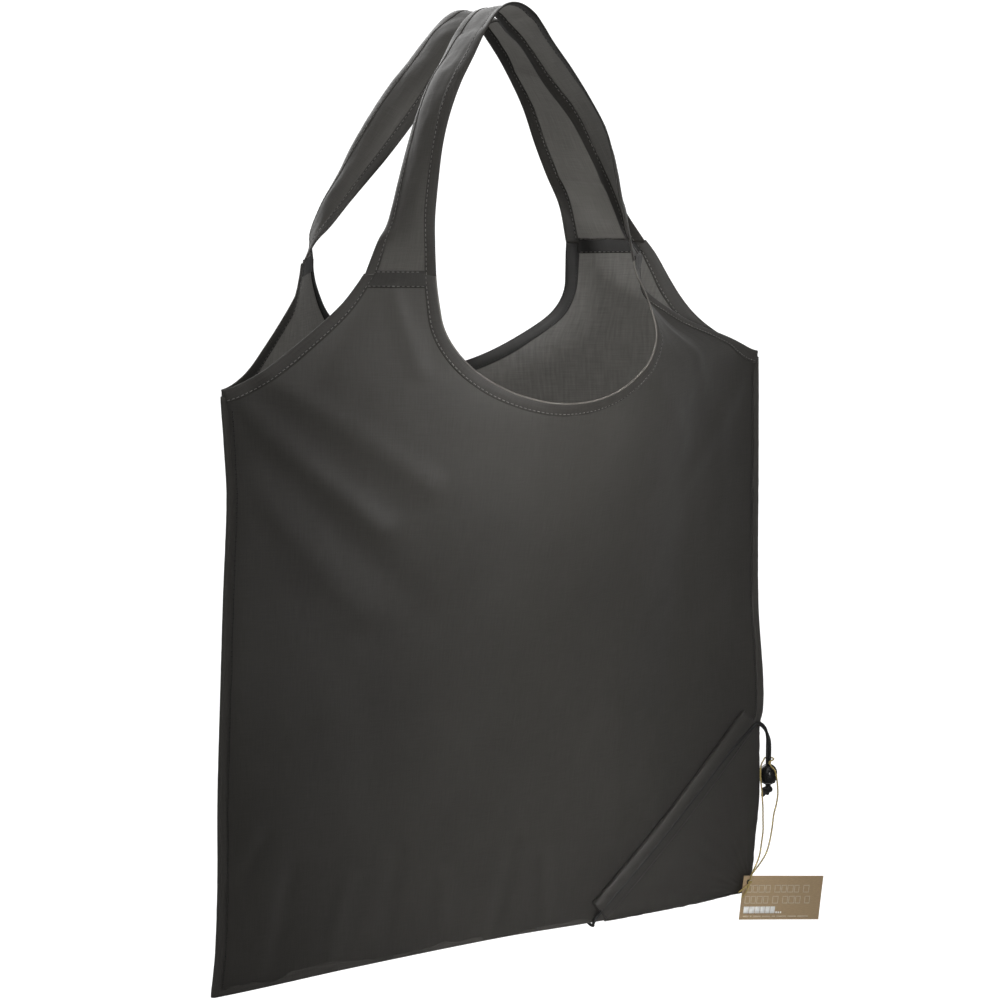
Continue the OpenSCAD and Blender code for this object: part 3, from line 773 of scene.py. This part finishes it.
# Stations of each strap between its left join and its right one: the armhole edge, then the
# neck edge
FRONT_STRAP = [
    ((-112, -34, 470), (-88, -62, 468)), ((-103, -32, 482), (-88, -62, 486)),
    ((-92, -28, 509), (-85, -61, 508)), ((-84, -25, 528), (-81, -60, 530)),
    ((-76, -22, 545), (-75, -59, 549)), ((-66, -18, 561), (-66, -57, 567)),
    ((-53, -15, 578), (-56, -56, 583)), ((-40, -12, 596), (-46, -54, 598)),
    ((-27, -11, 607), (-34, -53, 611)), ((-14, -11, 606), (-22, -53, 614)),
    ((-3, -12, 595), (-9, -53, 607)), ((9, -13, 582), (4, -54, 589)),
    ((23, -15, 561), (18, -55, 571)), ((40, -19, 539), (31, -57, 551)),
    ((51, -23, 518), (41, -58, 533)), ((60, -28, 497), (46, -59, 514)),
    ((68, -30, 478), (51, -60, 487)), ((75, -30, 464), (57, -61, 466)),
]
BACK_STRAP = [
    ((-116, 35, 464), (-104, 61, 464)), ((-105, 34, 474), (-102, 60, 472)),
    ((-92, 33, 488), (-94, 58, 490)), ((-79, 31, 502), (-85, 57, 505)),
    ((-68, 29, 514), (-77, 56, 520)), ((-54, 26, 531), (-66, 55, 537)),
    ((-41, 22, 549), (-50, 54, 558)), ((-28, 17, 569), (-36, 53, 573)),
    ((-14, 13, 588), (-23, 53, 587)), ((-2, 11, 598), (-10, 52, 600)),
    ((8, 12, 599), (2, 52, 605)), ((18, 13, 589), (12, 52, 601)),
    ((33, 14, 578), (22, 52, 588)), ((53, 16, 562), (37, 54, 569)),
    ((69, 18, 545), (53, 56, 543)), ((86, 21, 523), (64, 57, 517)),
    ((103, 27, 498), (74, 58, 496)), ((118, 32, 474), (85, 59, 475)),
]
STRAP_STEPS = 176
CUP_LIMIT = 5


class Strap:
    """A strap between its two edge lines, cupped outwards where the edges are closer together
    than the cloth is wide"""

    def __init__(self, stations, side):
        ends = [(surface(h * (JOIN_OUT + 1), JOIN_MID + 2, side), surface(h * JOIN_IN, JOIN_MID + 2, side))
                for h in (-1, 1)]
        full = [ends[0]] + stations + [ends[1]]
        self.arm = sampled(spline([s[0] for s in full], 12), STRAP_STEPS)
        self.neck = sampled(spline([s[1] for s in full], 12), STRAP_STEPS)
        middle = [(a + b) / 2 for a, b in zip(self.arm, self.neck)]
        self.turn = headings(middle)
        self.run = lengths(middle)
        self.side = side
        self.out = []
        for d, a, b in zip(self.turn, self.arm, self.neck):
            self.out.append(d.cross(b - a).normalized() * self.side)
        self.deep = []
        for k, (a, b) in enumerate(zip(self.arm, self.neck)):
            u = abs(2 * k / STRAP_STEPS - 1)
            chord = (b - a).length
            cup = min(math.sqrt(0.375 * chord * max(self.width(k) - chord, 0)), CUP_LIMIT)
            self.deep.append(cup * (1 - smooth((u - 0.8) / 0.2)))

    def point(self, k, a, out=0.0):
        """Place at step k along, share a of the way from the armhole edge to the neck edge"""
        cup = 4 * a * (1 - a) * self.deep[k]
        s = self.run[k]
        calm = smooth(min(s, self.run[-1] - s) / 20) * smooth(min(a, 1 - a) * 5)
        broad = 1.1 * ripple(s, a * STRAP_W, 13.0 * self.side, 30, 26)
        wave = calm * (broad + 0.3 * ripple(s, a * STRAP_W, 17.0, 9, 8))
        p = self.arm[k].lerp(self.neck[k], a)
        lean = (self.neck[k] - self.arm[k]).normalized()
        slope = 4 * (1 - 2 * a) * self.deep[k] / max((self.neck[k] - self.arm[k]).length, 1)
        n = (self.out[k] - lean * slope).normalized()
        return p + self.out[k] * (cup + wave) + n * out

    def width(self, k):
        """Width of the cloth itself at step k"""
        return mix(STRAP_W, JOIN_W, abs(2 * k / STRAP_STEPS - 1) ** 5)


def handle(name, strap):
    columns = 30
    builder = Builder()
    points, uvs = [], []
    for k in range(STRAP_STEPS + 1):
        for i in range(columns + 1):
            a = mix(0.02, 0.98, i / columns)
            points.append(strap.point(k, a))
            uvs.append((a * strap.width(k), strap.run[k]))
    builder.add(points, quads(columns + 1, STRAP_STEPS + 1), uvs=uvs)
    return builder.build(name, [LIT_THROUGH_STRAP_CLOTH])


def handle_hems(name, strap):
    builder = Builder()
    for neck_edge in (False, True):
        def spot(k, d, h):
            a = d / strap.width(k)
            return strap.point(k, 1 - a if neck_edge else a, h)
        hem_strip(builder, STRAP_STEPS, spot, mirrored=neck_edge, seed=21.0 + neck_edge)
        for line, normals in seam_line(spot, STRAP_STEPS, STITCH_IN, 0.42):
            stitches(builder, line, normals)
    return builder.build(name, STITCHED)


# ---- Side and bottom seams ----

def seam_strip(name, line, inward, half_t, waves):
    """The sewn ridge along an outer edge: line of (x, z) places and a unit direction inwards"""
    builder = Builder()
    section = [(-0.9, 0.0), (-0.7, 0.7), (0.0, 1.0), (1.6, 1.0), (3.4, 0.8), (6.0, 0.5)]
    ring = two_faced(section, section[1:])
    rings = []
    for k, (x, z) in enumerate(line):
        puff = 1 + waves * ripple(k, 0, 31.0, 2.6, 1)
        rings.append([Vector((x + inward.x * d, half_t * h * puff, z + inward.y * d)) for d, h in ring])
    rings_closed(builder, rings, uvs=[(d, 2.5 * k) for k in range(len(line)) for d, h in ring])
    return builder.build(name, [HEM_CLOTH])


def side_seam(name, hand):
    line = []
    for k in range(151):
        z = mix(0, BODY_H - 4, k / 150)
        p = shape(hand * side_x(z), z, FRONT)
        line.append((p.x, p.z))
    return seam_strip(name, line, Vector((-hand, 0)), 1.45, 0.22)


def bottom_seam(name):
    line = []
    for k in range(171):
        p = shape(mix(-HALF_W + 1, HALF_W - 4, k / 170), 0, FRONT)
        line.append((p.x, p.z + 0.3))
    return seam_strip(name, line, Vector((0, 1)), 1.2, 0.18)


def seam_shade_line(name, side):
    """A near-black dashed line just inside both side seams: painted shadow at the inner edge of the seam's
    ridge
    """
    builder = Builder()
    for hand in (-1, 1):
        low = 4 if hand < 0 else 122
        line, normals = [], []
        for k in range(181):
            z = mix(low, BODY_H - 12, k / 180)
            x = hand * (side_x(z) - 6 - 0.5 * ripple(z, 0, 41.0 + hand, 18, 1))
            p = surface(x, z, side, 0.12)
            line.append(p)
            normals.append((surface(x, z, side, 1) - p).normalized())
        stitches(builder, line, normals, light=1, dark=0, size=0.5 if hand * side > 0 else 0.28, rise=0.2)
    return builder.build(name, [DARK_THREAD_AND_SHADE, BAND_CLOTH])


# ---- Pouch ----

# Section of the channel: distance across it, towards the pouch's corner, and the height of its
# top over the body. It has a full fold on its upper side and runs flat into the pouch below.
CHANNEL_TOP = [(-8.9, 1.6), (-8.7, 2.9), (-7.8, 3.6), (-5.5, 4.1), (-2.5, 4.3), (0.5, 4.0), (3.5, 3.2),
               (6.0, 2.3), (7.6, 1.75), (9.2, 1.55)]
CHANNEL_LOW_H = 0.75
CHANNEL_RUN = 172


def channel_rings(side, shrink):
    steps = 90
    rings, uvs = [], []
    for k in range(steps + 1):
        t = k / steps
        p = CHANNEL_UP.lerp(CHANNEL_LOW, t)
        rise = max(side * surface(*(p + w * CHANNEL_SIDE), side).y for w in (-8, 0, 8))
        crush = smooth((t - 0.62) / 0.38)
        slack = 0.35 * ripple(t * CHANNEL_RUN, 0, 55.0 * side, 42, 1)
        outer = []
        for e, h in CHANNEL_TOP:
            fold = ripple(t * CHANNEL_RUN + 0.5 * e, e, 51.0 * side, 8, 7) * mix(0.25, 1.0, crush)
            full = smooth((h - 1.5) / 2)
            outer.append((e + 0.5 * fold * crush, h + full * (fold + slack) - shrink))
        low = [(e, CHANNEL_LOW_H + shrink) for e, h in reversed(CHANNEL_TOP)]
        if shrink:
            outer = [(e * 0.94, max(h, CHANNEL_LOW_H + shrink + 0.05)) for e, h in outer]
            low = [(e * 0.94, h) for e, h in low]
        ring = []
        for e, h in outer + low:
            q = p + e * CHANNEL_SIDE
            local = side * surface(q.x, q.y, side).y
            ring.append(Vector((q.x, side * (mix(local, rise, 0.35) + h), q.y)))
            uvs.append((e, t * CHANNEL_RUN))
        rings.append(ring)
    return rings, uvs


def channel(name, side):
    """An open cloth tube for the cord, with its inside"""
    builder = Builder()
    outer, uvs = channel_rings(side, 0)
    inner, _ = channel_rings(side, 0.4)
    n, m = len(outer[0]), len(outer)
    size = n * m
    faces = []
    for i in range(n):
        k = (i + 1) % n
        for j in range(m - 1):
            faces.append((j * n + i, j * n + k, (j + 1) * n + k, (j + 1) * n + i))
            faces.append((size + (j + 1) * n + i, size + (j + 1) * n + k, size + j * n + k, size + j * n + i))
        faces.append((i, size + i, size + k, k))
        faces.append(((m - 1) * n + k, size + (m - 1) * n + k, size + (m - 1) * n + i, (m - 1) * n + i))
    if side == BACK:
        faces = [tuple(reversed(f)) for f in faces]
    builder.add([p for r in outer + inner for p in r], faces, uvs=uvs + uvs)
    # The line of stitches that closes the tube
    line, normals = [], []
    for k in range(121):
        across = 7.4 + 0.4 * ripple(k, 0, 57.0, 9, 1)
        p = CHANNEL_UP.lerp(CHANNEL_LOW, mix(0.01, 0.99, k / 120)) + CHANNEL_SIDE * across
        y = surface(p.x, p.y, side).y + side * 1.95
        line.append(Vector((p.x, y, p.y)))
        normals.append(Vector((0, side, 0)))
    stitches(builder, line, normals, light=1, dark=1, size=0.95, rise=0.3)
    return builder.build(name, [POUCH_CLOTH, DARK_THREAD_AND_SHADE])


POUCH_TOP = Vector((HALF_W, 120.3))
POUCH_FOOT = Vector((HALF_W - 127.4, 1))


def pouch_relief(u, v, side):
    soft = smooth(min(u, 1 - u) * 8) * smooth(v * 6)
    broad = 0.9 * ripple(u * 170, v * 120, 61.0 * side, 36, 24)
    return soft * (0.9 + broad + 0.35 * ripple(u * 170, v * 120, 63.0, 11, 30))


def pouch_sheet(name, side):
    across, rows = 76, 60
    builder = Builder()
    points, uvs = [], []
    corner = Vector((HALF_W, 0))
    for j in range(rows + 1):
        v = mix(0.012, 1, j / rows)
        for i in range(across + 1):
            u = i / across
            p = corner + v * (POUCH_TOP + (POUCH_FOOT - POUCH_TOP) * u - corner)
            points.append(surface(p.x, p.y, side, 0.9 + pouch_relief(u, v, side)))
            uvs.append((p.x, p.y))
    faces = quads(across + 1, rows + 1)
    if side == FRONT:
        faces = [tuple(reversed(f)) for f in faces]
    builder.add(points, faces, uvs=uvs)
    return builder.build(name, [POUCH_CLOTH])


def pouch_edge(name):
    """The closed fold of the pouch round the outside of the bag's corner"""
    path = [(HALF_W + 0.5, mix(112, 0, k / 46)) for k in range(47)]
    path += [(mix(HALF_W - 1, 84, k / 46), -0.5) for k in range(47)]
    centre = [shape(min(x, side_x(max(z, 0))), max(z, 0), FRONT) for x, z in path]
    line = [Vector((c.x, 0, c.z)) for c in centre]
    for k in range(2):
        line = [line[0]] + [(a + 2 * b + c) / 4 for a, b, c in zip(line, line[1:], line[2:])] + [line[-1]]
    builder = Builder()
    section = [(-0.2, 2.1), (0.55, 1.7), (1.1, 0.8), (1.25, 0)]
    ring = two_faced(section, section[:-1])
    rings = []
    for k, (p, d) in enumerate(zip(line, headings(line))):
        outward = Vector((-d.z, 0, d.x))
        puff = 1 + 0.3 * ripple(k, 0, 71.0, 2.4, 1)
        rings.append([p + outward * (a * puff + 0.3) + Vector((0, b * puff, 0)) for a, b in ring])
    rings_closed(builder, rings, uvs=[(3 * i, 2.5 * k) for k in range(len(line)) for i in range(len(ring))])
    return builder.build(name, [POUCH_CLOTH])


# ---- Drawcord, knots and tag string ----

LOCK = Vector((220, 0, 81))
CORD_D = 2.0
STRING_D = 1.0
# The cord's places are measured from the bag's lower right corner.
CORD_UP = [(8.9, 0, 70), (8.9, 0, 80), (8.9, 0, 90), (8.9, 0, 101), (8.3, -0.8, 106), (6.6, -2.2, 111),
           (3.8, -3.8, 115.5)]
CORD_HALF = [(0, -4.2, 119), (-4.5, -4.4, 119.5), (-12, -5, 114.5), (-27, -6.3, 104), (-50, -7.9, 84),
             (-70, -8.7, 66), (-90, -8.5, 47.5), (-110, -7.3, 29), (-126, -5.8, 14), (-133, -5.2, 7.5),
             (-137, -4.6, 3), (-138, -3.2, -0.6), (-137, -1.5, -2.4)]
CORD_DOWN = [(4.6, 3.8, 116.5), (8, 2.2, 113), (10.3, 0.8, 107.5), (11.1, 0, 102), (11.1, 0, 90),
             (11.1, 0, 80), (11.1, 0, 70)]
# The string's places are measured from the cord lock's middle.
STRING_LEFT = [(-10.3, -7, -12.3), (-9.6, -7, -20), (-9.5, -7.2, -29), (-9.8, -7.8, -37), (-11.4, -8.2, -46),
               (-13.2, -8.8, -53), (-16.8, -10, -59), (-20.8, -11, -64), (-23.2, -11.6, -69)]
STRING_LOOP = [(-10.5, -7, -9), (-11.6, -7, -2), (-12, -7, 3), (-11.2, -6.2, 8), (-8.8, -4.4, 10.4),
               (-6, -2.2, 11), (-3.4, 0.4, 11.2), (-1.6, 2.4, 11.2), (1, 2.9, 11.2), (3.2, 1.6, 11.1),
               (3.7, -0.8, 10.9), (2.2, -2.7, 10.6), (-0.6, -3.6, 10.3), (-2.6, -4.4, 9.4), (-1.6, -6, 6.6),
               (0.2, -7.2, 4), (2, -7.4, -3)]
STRING_RIGHT = [(2.8, -7.5, -12.3), (1.6, -7.5, -20), (-0.5, -7.5, -27), (-2, -7.6, -37), (-4.6, -8, -47),
                (-7.5, -8, -54), (-12.5, -8, -60), (-18, -8.2, -65), (-22.2, -8.2, -69.5)]
HOLE = LOCK + Vector((-23, -10, -70.5))
# The card's turn about the upright line through its hole, and its roll in its own plane
CARD_TURN = math.radians(-10)
CARD_ROLL = math.radians(6.5)


def metres(line):
    return sum((place(b) - place(a)).length for a, b in zip(line, line[1:]))


def drawcord():
    corner = Vector((HALF_W, 0, 0))
    back_half = [(x, -y, z) for x, y, z in reversed(CORD_HALF)]
    line = [corner + Vector(p) for p in spline(CORD_UP + CORD_HALF + back_half + CORD_DOWN, 4)]
    curve = bpy.data.curves.new("drawcord", "CURVE")
    curve.dimensions = "3D"
    curve.bevel_depth = CORD_D / 2000
    curve.bevel_resolution = 4
    curve.use_fill_caps = True
    part = curve.splines.new("POLY")
    part.points.add(len(line) - 1)
    for point, p in zip(part.points, line):
        point.co = (*place(p), 1)
    curve.materials.append(CORD)
    obj = bpy.data.objects.new("drawcord_line", curve)
    bpy.context.scene.collection.objects.link(obj)
    return obj, line


def trefoil(centre, size, flat):
    """An overhand knot's line"""
    line = []
    for k in range(73):
        a = 2 * math.pi * k / 72
        x = math.sin(a) + 2 * math.sin(2 * a)
        y = math.cos(a) - 2 * math.cos(2 * a)
        line.append(centre + Vector((x * size, -math.sin(3 * a) * size * flat, y * size)))
    return line


def tubes(name, lines, diameter, sides, look, ends, grooves=0, pitch=1.0):
    builder = Builder()
    for line in lines:
        rings, uvs = tube_rings(line, diameter / 2, sides, grooves, pitch, ends)
        rings_closed(builder, rings, uvs=uvs)
    return builder.build(name, [look])


def cord_knot():
    centre = LOCK + Vector((-0.6, 0, -10.9))
    wound = trefoil(centre, 0.8, 1.7)
    tails = [[(-1.2, 0, 0.2), (-2.2, -0.5, -0.8), (-3.6, -0.7, -1.6), (-5.0, -0.5, -2.2)],
             [(-0.6, 0.3, -0.6), (-1.4, 0.6, -1.8), (-2.8, 0.5, -2.9), (-4.2, 0.2, -3.6)]]
    lines = [wound] + [spline([centre + Vector(p) for p in t], 5) for t in tails]
    return tubes("cord_knot_tied", lines, CORD_D * 1.35, 12, CORD, ends=0.8)


def tag_string():
    points = list(reversed(STRING_LEFT)) + STRING_LOOP + STRING_RIGHT
    line = sampled([LOCK + p for p in spline(points, 6)], 420)
    rings, uvs = tube_rings(line, STRING_D / 2, 10, grooves=3, pitch=2.4)
    builder = Builder()
    rings_closed(builder, rings, uvs=uvs)
    return builder.build("tag_string_line", [GOLD_STRING]), line


def on_card(x, y, z):
    """A place on the card, from its hole: x along it, y in front of it negative, z up"""
    c, s = math.cos(CARD_ROLL), math.sin(CARD_ROLL)
    x, z = c * x + s * z, c * z - s * x
    c, s = math.cos(CARD_TURN), math.sin(CARD_TURN)
    return HOLE + Vector((c * x - s * y, s * x + c * y, z))


def tag_knot():
    centre = on_card(0, -1.65, 0)
    wound = trefoil(centre, 0.36, 1.2)
    tails = [[(0, 0, -0.3), (-2.6, -0.5, -1.6), (-6.2, -0.9, -3.4), (-10.4, -0.4, -5.6)],
             [(0, 0, -0.3), (-1.6, -0.3, -3.0), (-4.4, -0.5, -7.0), (-7.6, -0.3, -10.4)]]
    lines = [wound] + [spline([centre + Vector(p) for p in t], 8) for t in tails]
    return tubes("tag_knot_tied", lines, STRING_D, 10, GOLD_STRING, grooves=3, pitch=2.4, ends=0.5)


CARD_W, CARD_H, CARD_T, CARD_HOLE = 62, 31, 0.5, 4
CARD_LEFT, CARD_TOP = -4.5, 4.2
CARD_RIGHT, CARD_LOW = CARD_LEFT + CARD_W, CARD_TOP - CARD_H
# Half the square of finer points round the hole, and the points round the hole itself
CARD_REACH = 4.0
CARD_SIDES = 48


def card_bend(x, z):
    """The card isn't quite flat."""
    return -0.5 * ((x - CARD_LEFT) / CARD_W - 0.5) ** 2 + 0.12 * ripple(x, z, 81.0, 26, 20)


def card_hole():
    """A ring of points round the hole, and the same points moved out to a square round it"""
    rim, square = [], []
    for k in range(CARD_SIDES):
        a = 2 * math.pi * (k + 0.5) / CARD_SIDES
        c, s = math.cos(a), math.sin(a)
        rim.append((CARD_HOLE / 2 * c, CARD_HOLE / 2 * s))
        grow = CARD_REACH / max(abs(c), abs(s))
        square.append((grow * c, grow * s))
    return rim, square


def card_grid():
    """Columns and rows of points over the card, closer together round the hole"""
    near = [mix(-CARD_REACH, CARD_REACH, k / 12) for k in range(1, 13)]
    columns = [CARD_LEFT, -CARD_REACH] + near + [mix(CARD_REACH, CARD_RIGHT, k / 40) for k in range(1, 41)]
    rows = [CARD_TOP, CARD_REACH] + [mix(CARD_REACH, -CARD_REACH, k / 12) for k in range(1, 13)]
    return columns, rows + [mix(-CARD_REACH, CARD_LOW, k / 18) for k in range(1, 19)]


def card_face(builder, face, rim, square, columns, rows):
    """The front (face -1) or the back of the card"""
    points, faces = [], []

    def spot(x, z):
        points.append(on_card(x, card_bend(x, z) + face * CARD_T / 2, z))
        return len(points) - 1
    inner, outer = [spot(*p) for p in rim], [spot(*p) for p in square]
    for k in range(CARD_SIDES):
        j = (k + 1) % CARD_SIDES
        faces.append((inner[k], inner[j], outer[j], outer[k]))
    grid = [[spot(x, z) for x in columns] for z in rows]
    for j in range(len(rows) - 1):
        for i in range(len(columns) - 1):
            x, z = (columns[i] + columns[i + 1]) / 2, (rows[j] + rows[j + 1]) / 2
            if abs(x) < CARD_REACH and abs(z) < CARD_REACH:
                continue
            faces.append((grid[j][i], grid[j][i + 1], grid[j + 1][i + 1], grid[j + 1][i]))
    if face < 0:
        faces = [tuple(reversed(f)) for f in faces]
    builder.add(points, faces, 0, [(p.x, p.z) for p in points])


def card_wall(builder, loop, turned):
    """The card's thickness along a closed line of places"""
    walls, faces = [], []
    for x, z in loop:
        walls += [on_card(x, card_bend(x, z) + face * CARD_T / 2, z) for face in (-1, 1)]
    for k in range(len(loop)):
        j = (k + 1) % len(loop)
        face = (2 * k, 2 * j, 2 * j + 1, 2 * k + 1)
        faces.append(tuple(reversed(face)) if turned else face)
    builder.add(walls, faces)


def tag_card():
    """A sheet of card with a round hole"""
    builder = Builder()
    rim, square = card_hole()
    columns, rows = card_grid()
    for face in (-1, 1):
        card_face(builder, face, rim, square, columns, rows)
    border = [(x, CARD_TOP) for x in columns] + [(CARD_RIGHT, z) for z in rows[1:]]
    border += [(x, CARD_LOW) for x in reversed(columns[:-1])] + [(CARD_LEFT, z) for z in reversed(rows[1:-1])]
    card_wall(builder, border, False)
    card_wall(builder, rim, True)
    return builder.build("tag_card_kraft", [KRAFT_CARD])


def printed(builder, x, z, w, h, number):
    """A printed bar on the front of the card, its corner (x, z) measured from the card's"""
    left, top = CARD_LEFT + x, CARD_TOP - z
    across = max(2, int(w / 2))
    points = []
    for j in (0, 1):
        for i in range(across + 1):
            px, pz = left + w * i / across, top - h * j
            points.append(on_card(px, card_bend(px, pz) - CARD_T / 2 - 0.06, pz))
    low = [p + Vector((0, 0.05, 0)) for p in points]
    n = across + 1
    faces = [(i, n + i, n + i + 1, i + 1) for i in range(across)]
    size = 2 * n
    rim = list(range(n)) + list(range(2 * n - 1, n - 1, -1))
    faces += [(a, b, size + b, size + a) for a, b in zip(rim, rim[1:] + rim[:1])]
    builder.add(points + low, faces, number)


def outlined(builder, x, z, w, h, line, number):
    """A printed box of four thin bars"""
    printed(builder, x, z, w, line, number)
    printed(builder, x, z + h - line, w, line, number)
    printed(builder, x, z + line, line, h - 2 * line, number)
    printed(builder, x + w - line, z + line, line, h - 2 * line, number)


def tag_print():
    """Plain bars in the places of the card's lines of print"""
    builder = Builder()
    for top, words in ((6.4, (4, 4, 1)), (14.2, (4, 1, 3, 1))):
        x = 2.6
        for blocks in words:
            for k in range(blocks):
                wide = 4.3 + 0.5 * math.sin(3.1 * x + top)
                outlined(builder, x, top, wide, 5.4, 0.6, 0)
                x += wide + 0.55
            x += 2.6
    x = 2.6
    for w in (4.0, 4.2, 3.7, 3.7, 3.4, 3.6):
        printed(builder, x, 21.7, w, 4.8, 1)
        x += w + 0.35
    for k in range(3):
        printed(builder, x + 0.4 + 1.7 * k, 25.2, 1.1, 1.3, 1)
    x = 2.6
    for w in (4.5, 1.2, 6, 6.4, 2.6, 7.5, 6.6, 8.5):
        printed(builder, x, 28.2, w, 0.9, 0)
        x += w + 1.1
    return builder.build("tag_print", [PALE_INK, WHITE_INK])


# The lip's middle radius, half thickness and height from the lock's middle
RIM_R, RIM_T, RIM_Z = 4.72, 0.3, -5.35


def lock_rim():
    """The moulded lip round the lower end of the cord lock, in paler plastic than the lock: a painted
    highlight for the light line along its edge
    """
    builder = Builder()
    around, n = 48, 10
    rings = []
    for k in range(around):
        a = 2 * math.pi * k / around
        d = Vector((math.cos(a), math.sin(a), 0))
        ring = []
        for i in range(n):
            b = 2 * math.pi * i / n
            up = Vector((0, 0, RIM_Z + RIM_T * math.sin(b)))
            ring.append(LOCK + d * (RIM_R + RIM_T * math.cos(b)) + up)
        rings.append(ring)
    faces = []
    for j in range(around):
        for i in range(n):
            k, l = (i + 1) % n, (j + 1) % around
            faces.append((j * n + i, l * n + i, l * n + k, j * n + k))
    builder.add([p for r in rings for p in r], faces)
    # Paler plastic than the lock body: painted highlight along the lip
    return builder.build("cord_lock_rim", [plastic_material("lock_rim", (0.05, 0.05, 0.05), 0.12)])


# ---- The pieces ----

def put(obj, body, slot, *nodes):
    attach(obj, body)
    if nodes:
        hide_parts(*nodes)
    return obj


def make_body():
    made = {}
    for word, side in (("front", FRONT), ("back", BACK)):
        cloth = put(panel(word + "_cloth", side), "bag", "panel_cloth", word + "_panel")
        parts = [
            put(neck_hem(word + "_neck_hem_cloth", side), "bag", "hem_cloth", word + "_neck_hem"),
            put(armhole_hems(word + "_armhole_hems_cloth", side), "bag", "hem_cloth", word + "_armhole_hems"),
            put(join_bands(word + "_join_bands_cloth", side), "bag", "hem_cloth", word + "_join_bands"),
            put(seam_shade_line(word + "_seam_shade_line", side), "bag", "hem_cloth"),
        ]
        made[word] = cloth, parts
    for hand, word in ((-1, "left"), (1, "right")):
        seam = side_seam(word + "_side_ridge", hand)
        made["front"][1].append(put(seam, "bag", "hem_cloth", word + "_side_seam"))
    made["back"][1].append(put(bottom_seam("bottom_ridge"), "bag", "hem_cloth", "bottom_seam"))
    for cloth, parts in made.values():
        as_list(parts)


def make_handles():
    for word, side, stations in (("front", FRONT, FRONT_STRAP), ("back", BACK, BACK_STRAP)):
        strap = Strap(stations, side)
        cloth = handle(word + "_strap", strap)
        hems = handle_hems(word + "_strap_hems", strap)
        for obj, slot, node in ((cloth, "strap_cloth", "_handle"), (hems, "hem_cloth", "_handle_hems")):
            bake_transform(obj)
            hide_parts(word + node)


def make_pouch():
    edge = put(pouch_edge("pouch_fold"), "bag", "pouch_cloth", "pouch_edge")
    for word, side in (("front", FRONT), ("back", BACK)):
        sheet = put(pouch_sheet("pouch_" + word + "_cloth", side), "bag", "pouch_cloth", "pouch_" + word)
        tube = channel("pouch_" + word + "_tunnel", side)
        put(tube, "bag", "pouch_cloth", "pouch_" + word + "_channel")


def make_cords():
    cord, line = drawcord()
    put(cord, "bag", "cord", "drawcord")
    knot = put(cord_knot(), "bag", "cord", "cord_knot")
    rim = put(lock_rim(), "cord_lock", "lock_plastic")
    tuple(place(line[0]))
    metres(line)
    string, line = tag_string()
    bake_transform(string)
    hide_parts("tag_string_loop", "tag_string")
    tied = put(tag_knot(), "tag_string", "tag_string", "tag_knot")
    put(tag_card(), "tag_card", "tag_card", "tag_card")
    put(tag_print(), "tag_card", "tag_card")
    tuple(place(line[0]))
    metres(line)
    [tuple(place(p)) for p in line]


def finish_nodes():
    for name, look in (("cord_lock_body", LOCK_PLASTIC), ("cord_lock_plunger", LOCK_PLASTIC),
                       ("cord_lock_spring", SPRING_STEEL)):
        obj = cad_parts[name]
        for slot in obj.material_slots:
            slot.link = "OBJECT"
            slot.material = look


# ---- Studio ----

def area_light(name, at, target, size, power, spread=180):
    data = bpy.data.lights.new(name, "AREA")
    data.shape = "RECTANGLE"
    data.size, data.size_y = size
    data.energy = power
    data.spread = math.radians(spread)
    obj = bpy.data.objects.new(name, data)
    obj.location = at
    obj.rotation_euler = (Vector(target) - Vector(at)).to_track_quat("-Z", "Y").to_euler()
    bpy.context.scene.collection.objects.link(obj)


def studio():
    world = bpy.data.worlds.new("studio")
    world.use_nodes = True
    tree = world.node_tree
    seen = tree.nodes.new("ShaderNodeLightPath")
    back = tree.nodes["Background"]
    back.inputs["Color"].default_value = (1, 1, 1, 1)
    white = tree.nodes.new("ShaderNodeBackground")
    white.inputs["Color"].default_value = (1, 1, 1, 1)
    back.inputs["Strength"].default_value = 0.3
    white.inputs["Strength"].default_value = 1.2
    both = tree.nodes.new("ShaderNodeMixShader")
    tree.links.new(seen.outputs["Is Camera Ray"], both.inputs["Fac"])
    tree.links.new(back.outputs["Background"], both.inputs[1])
    tree.links.new(white.outputs["Background"], both.inputs[2])
    tree.links.new(both.outputs["Shader"], tree.nodes["World Output"].inputs["Surface"])
    bpy.context.scene.world = world

    middle = (0, 0, -0.35)
    area_light("top", (-0.5, -0.7, 1.9), (0, 0, -0.2), (2.4, 2.4), 32)
    area_light("key", (-2.2, -1.6, 0.7), middle, (1.4, 1.8), 10)
    area_light("strip", (-0.35, -1.5, -0.42), (0.03, -0.03, -0.42), (0.22, 0.6), 0.58, spread=16)
    area_light("behind", (0.5, 2.4, 1.0), (0, 0, -0.2), (2.4, 2.0), 60)


def camera():
    data = bpy.data.cameras.new("camera")
    data.lens = 128
    data.sensor_width = 36
    obj = bpy.data.objects.new("camera", data)
    at = Vector((-1.2326, -1.8903, 0.0841))
    obj.location = at
    obj.rotation_euler = (Vector((-0.0004, 0, -0.3178)) - at).to_track_quat("-Z", "Y").to_euler()
    bpy.context.scene.collection.objects.link(obj)
    bpy.context.scene.camera = obj


camera()
make_cords()
make_body()
make_handles()
make_pouch()
finish_nodes()
studio()
bpy.context.scene.view_settings.view_transform = "Standard"
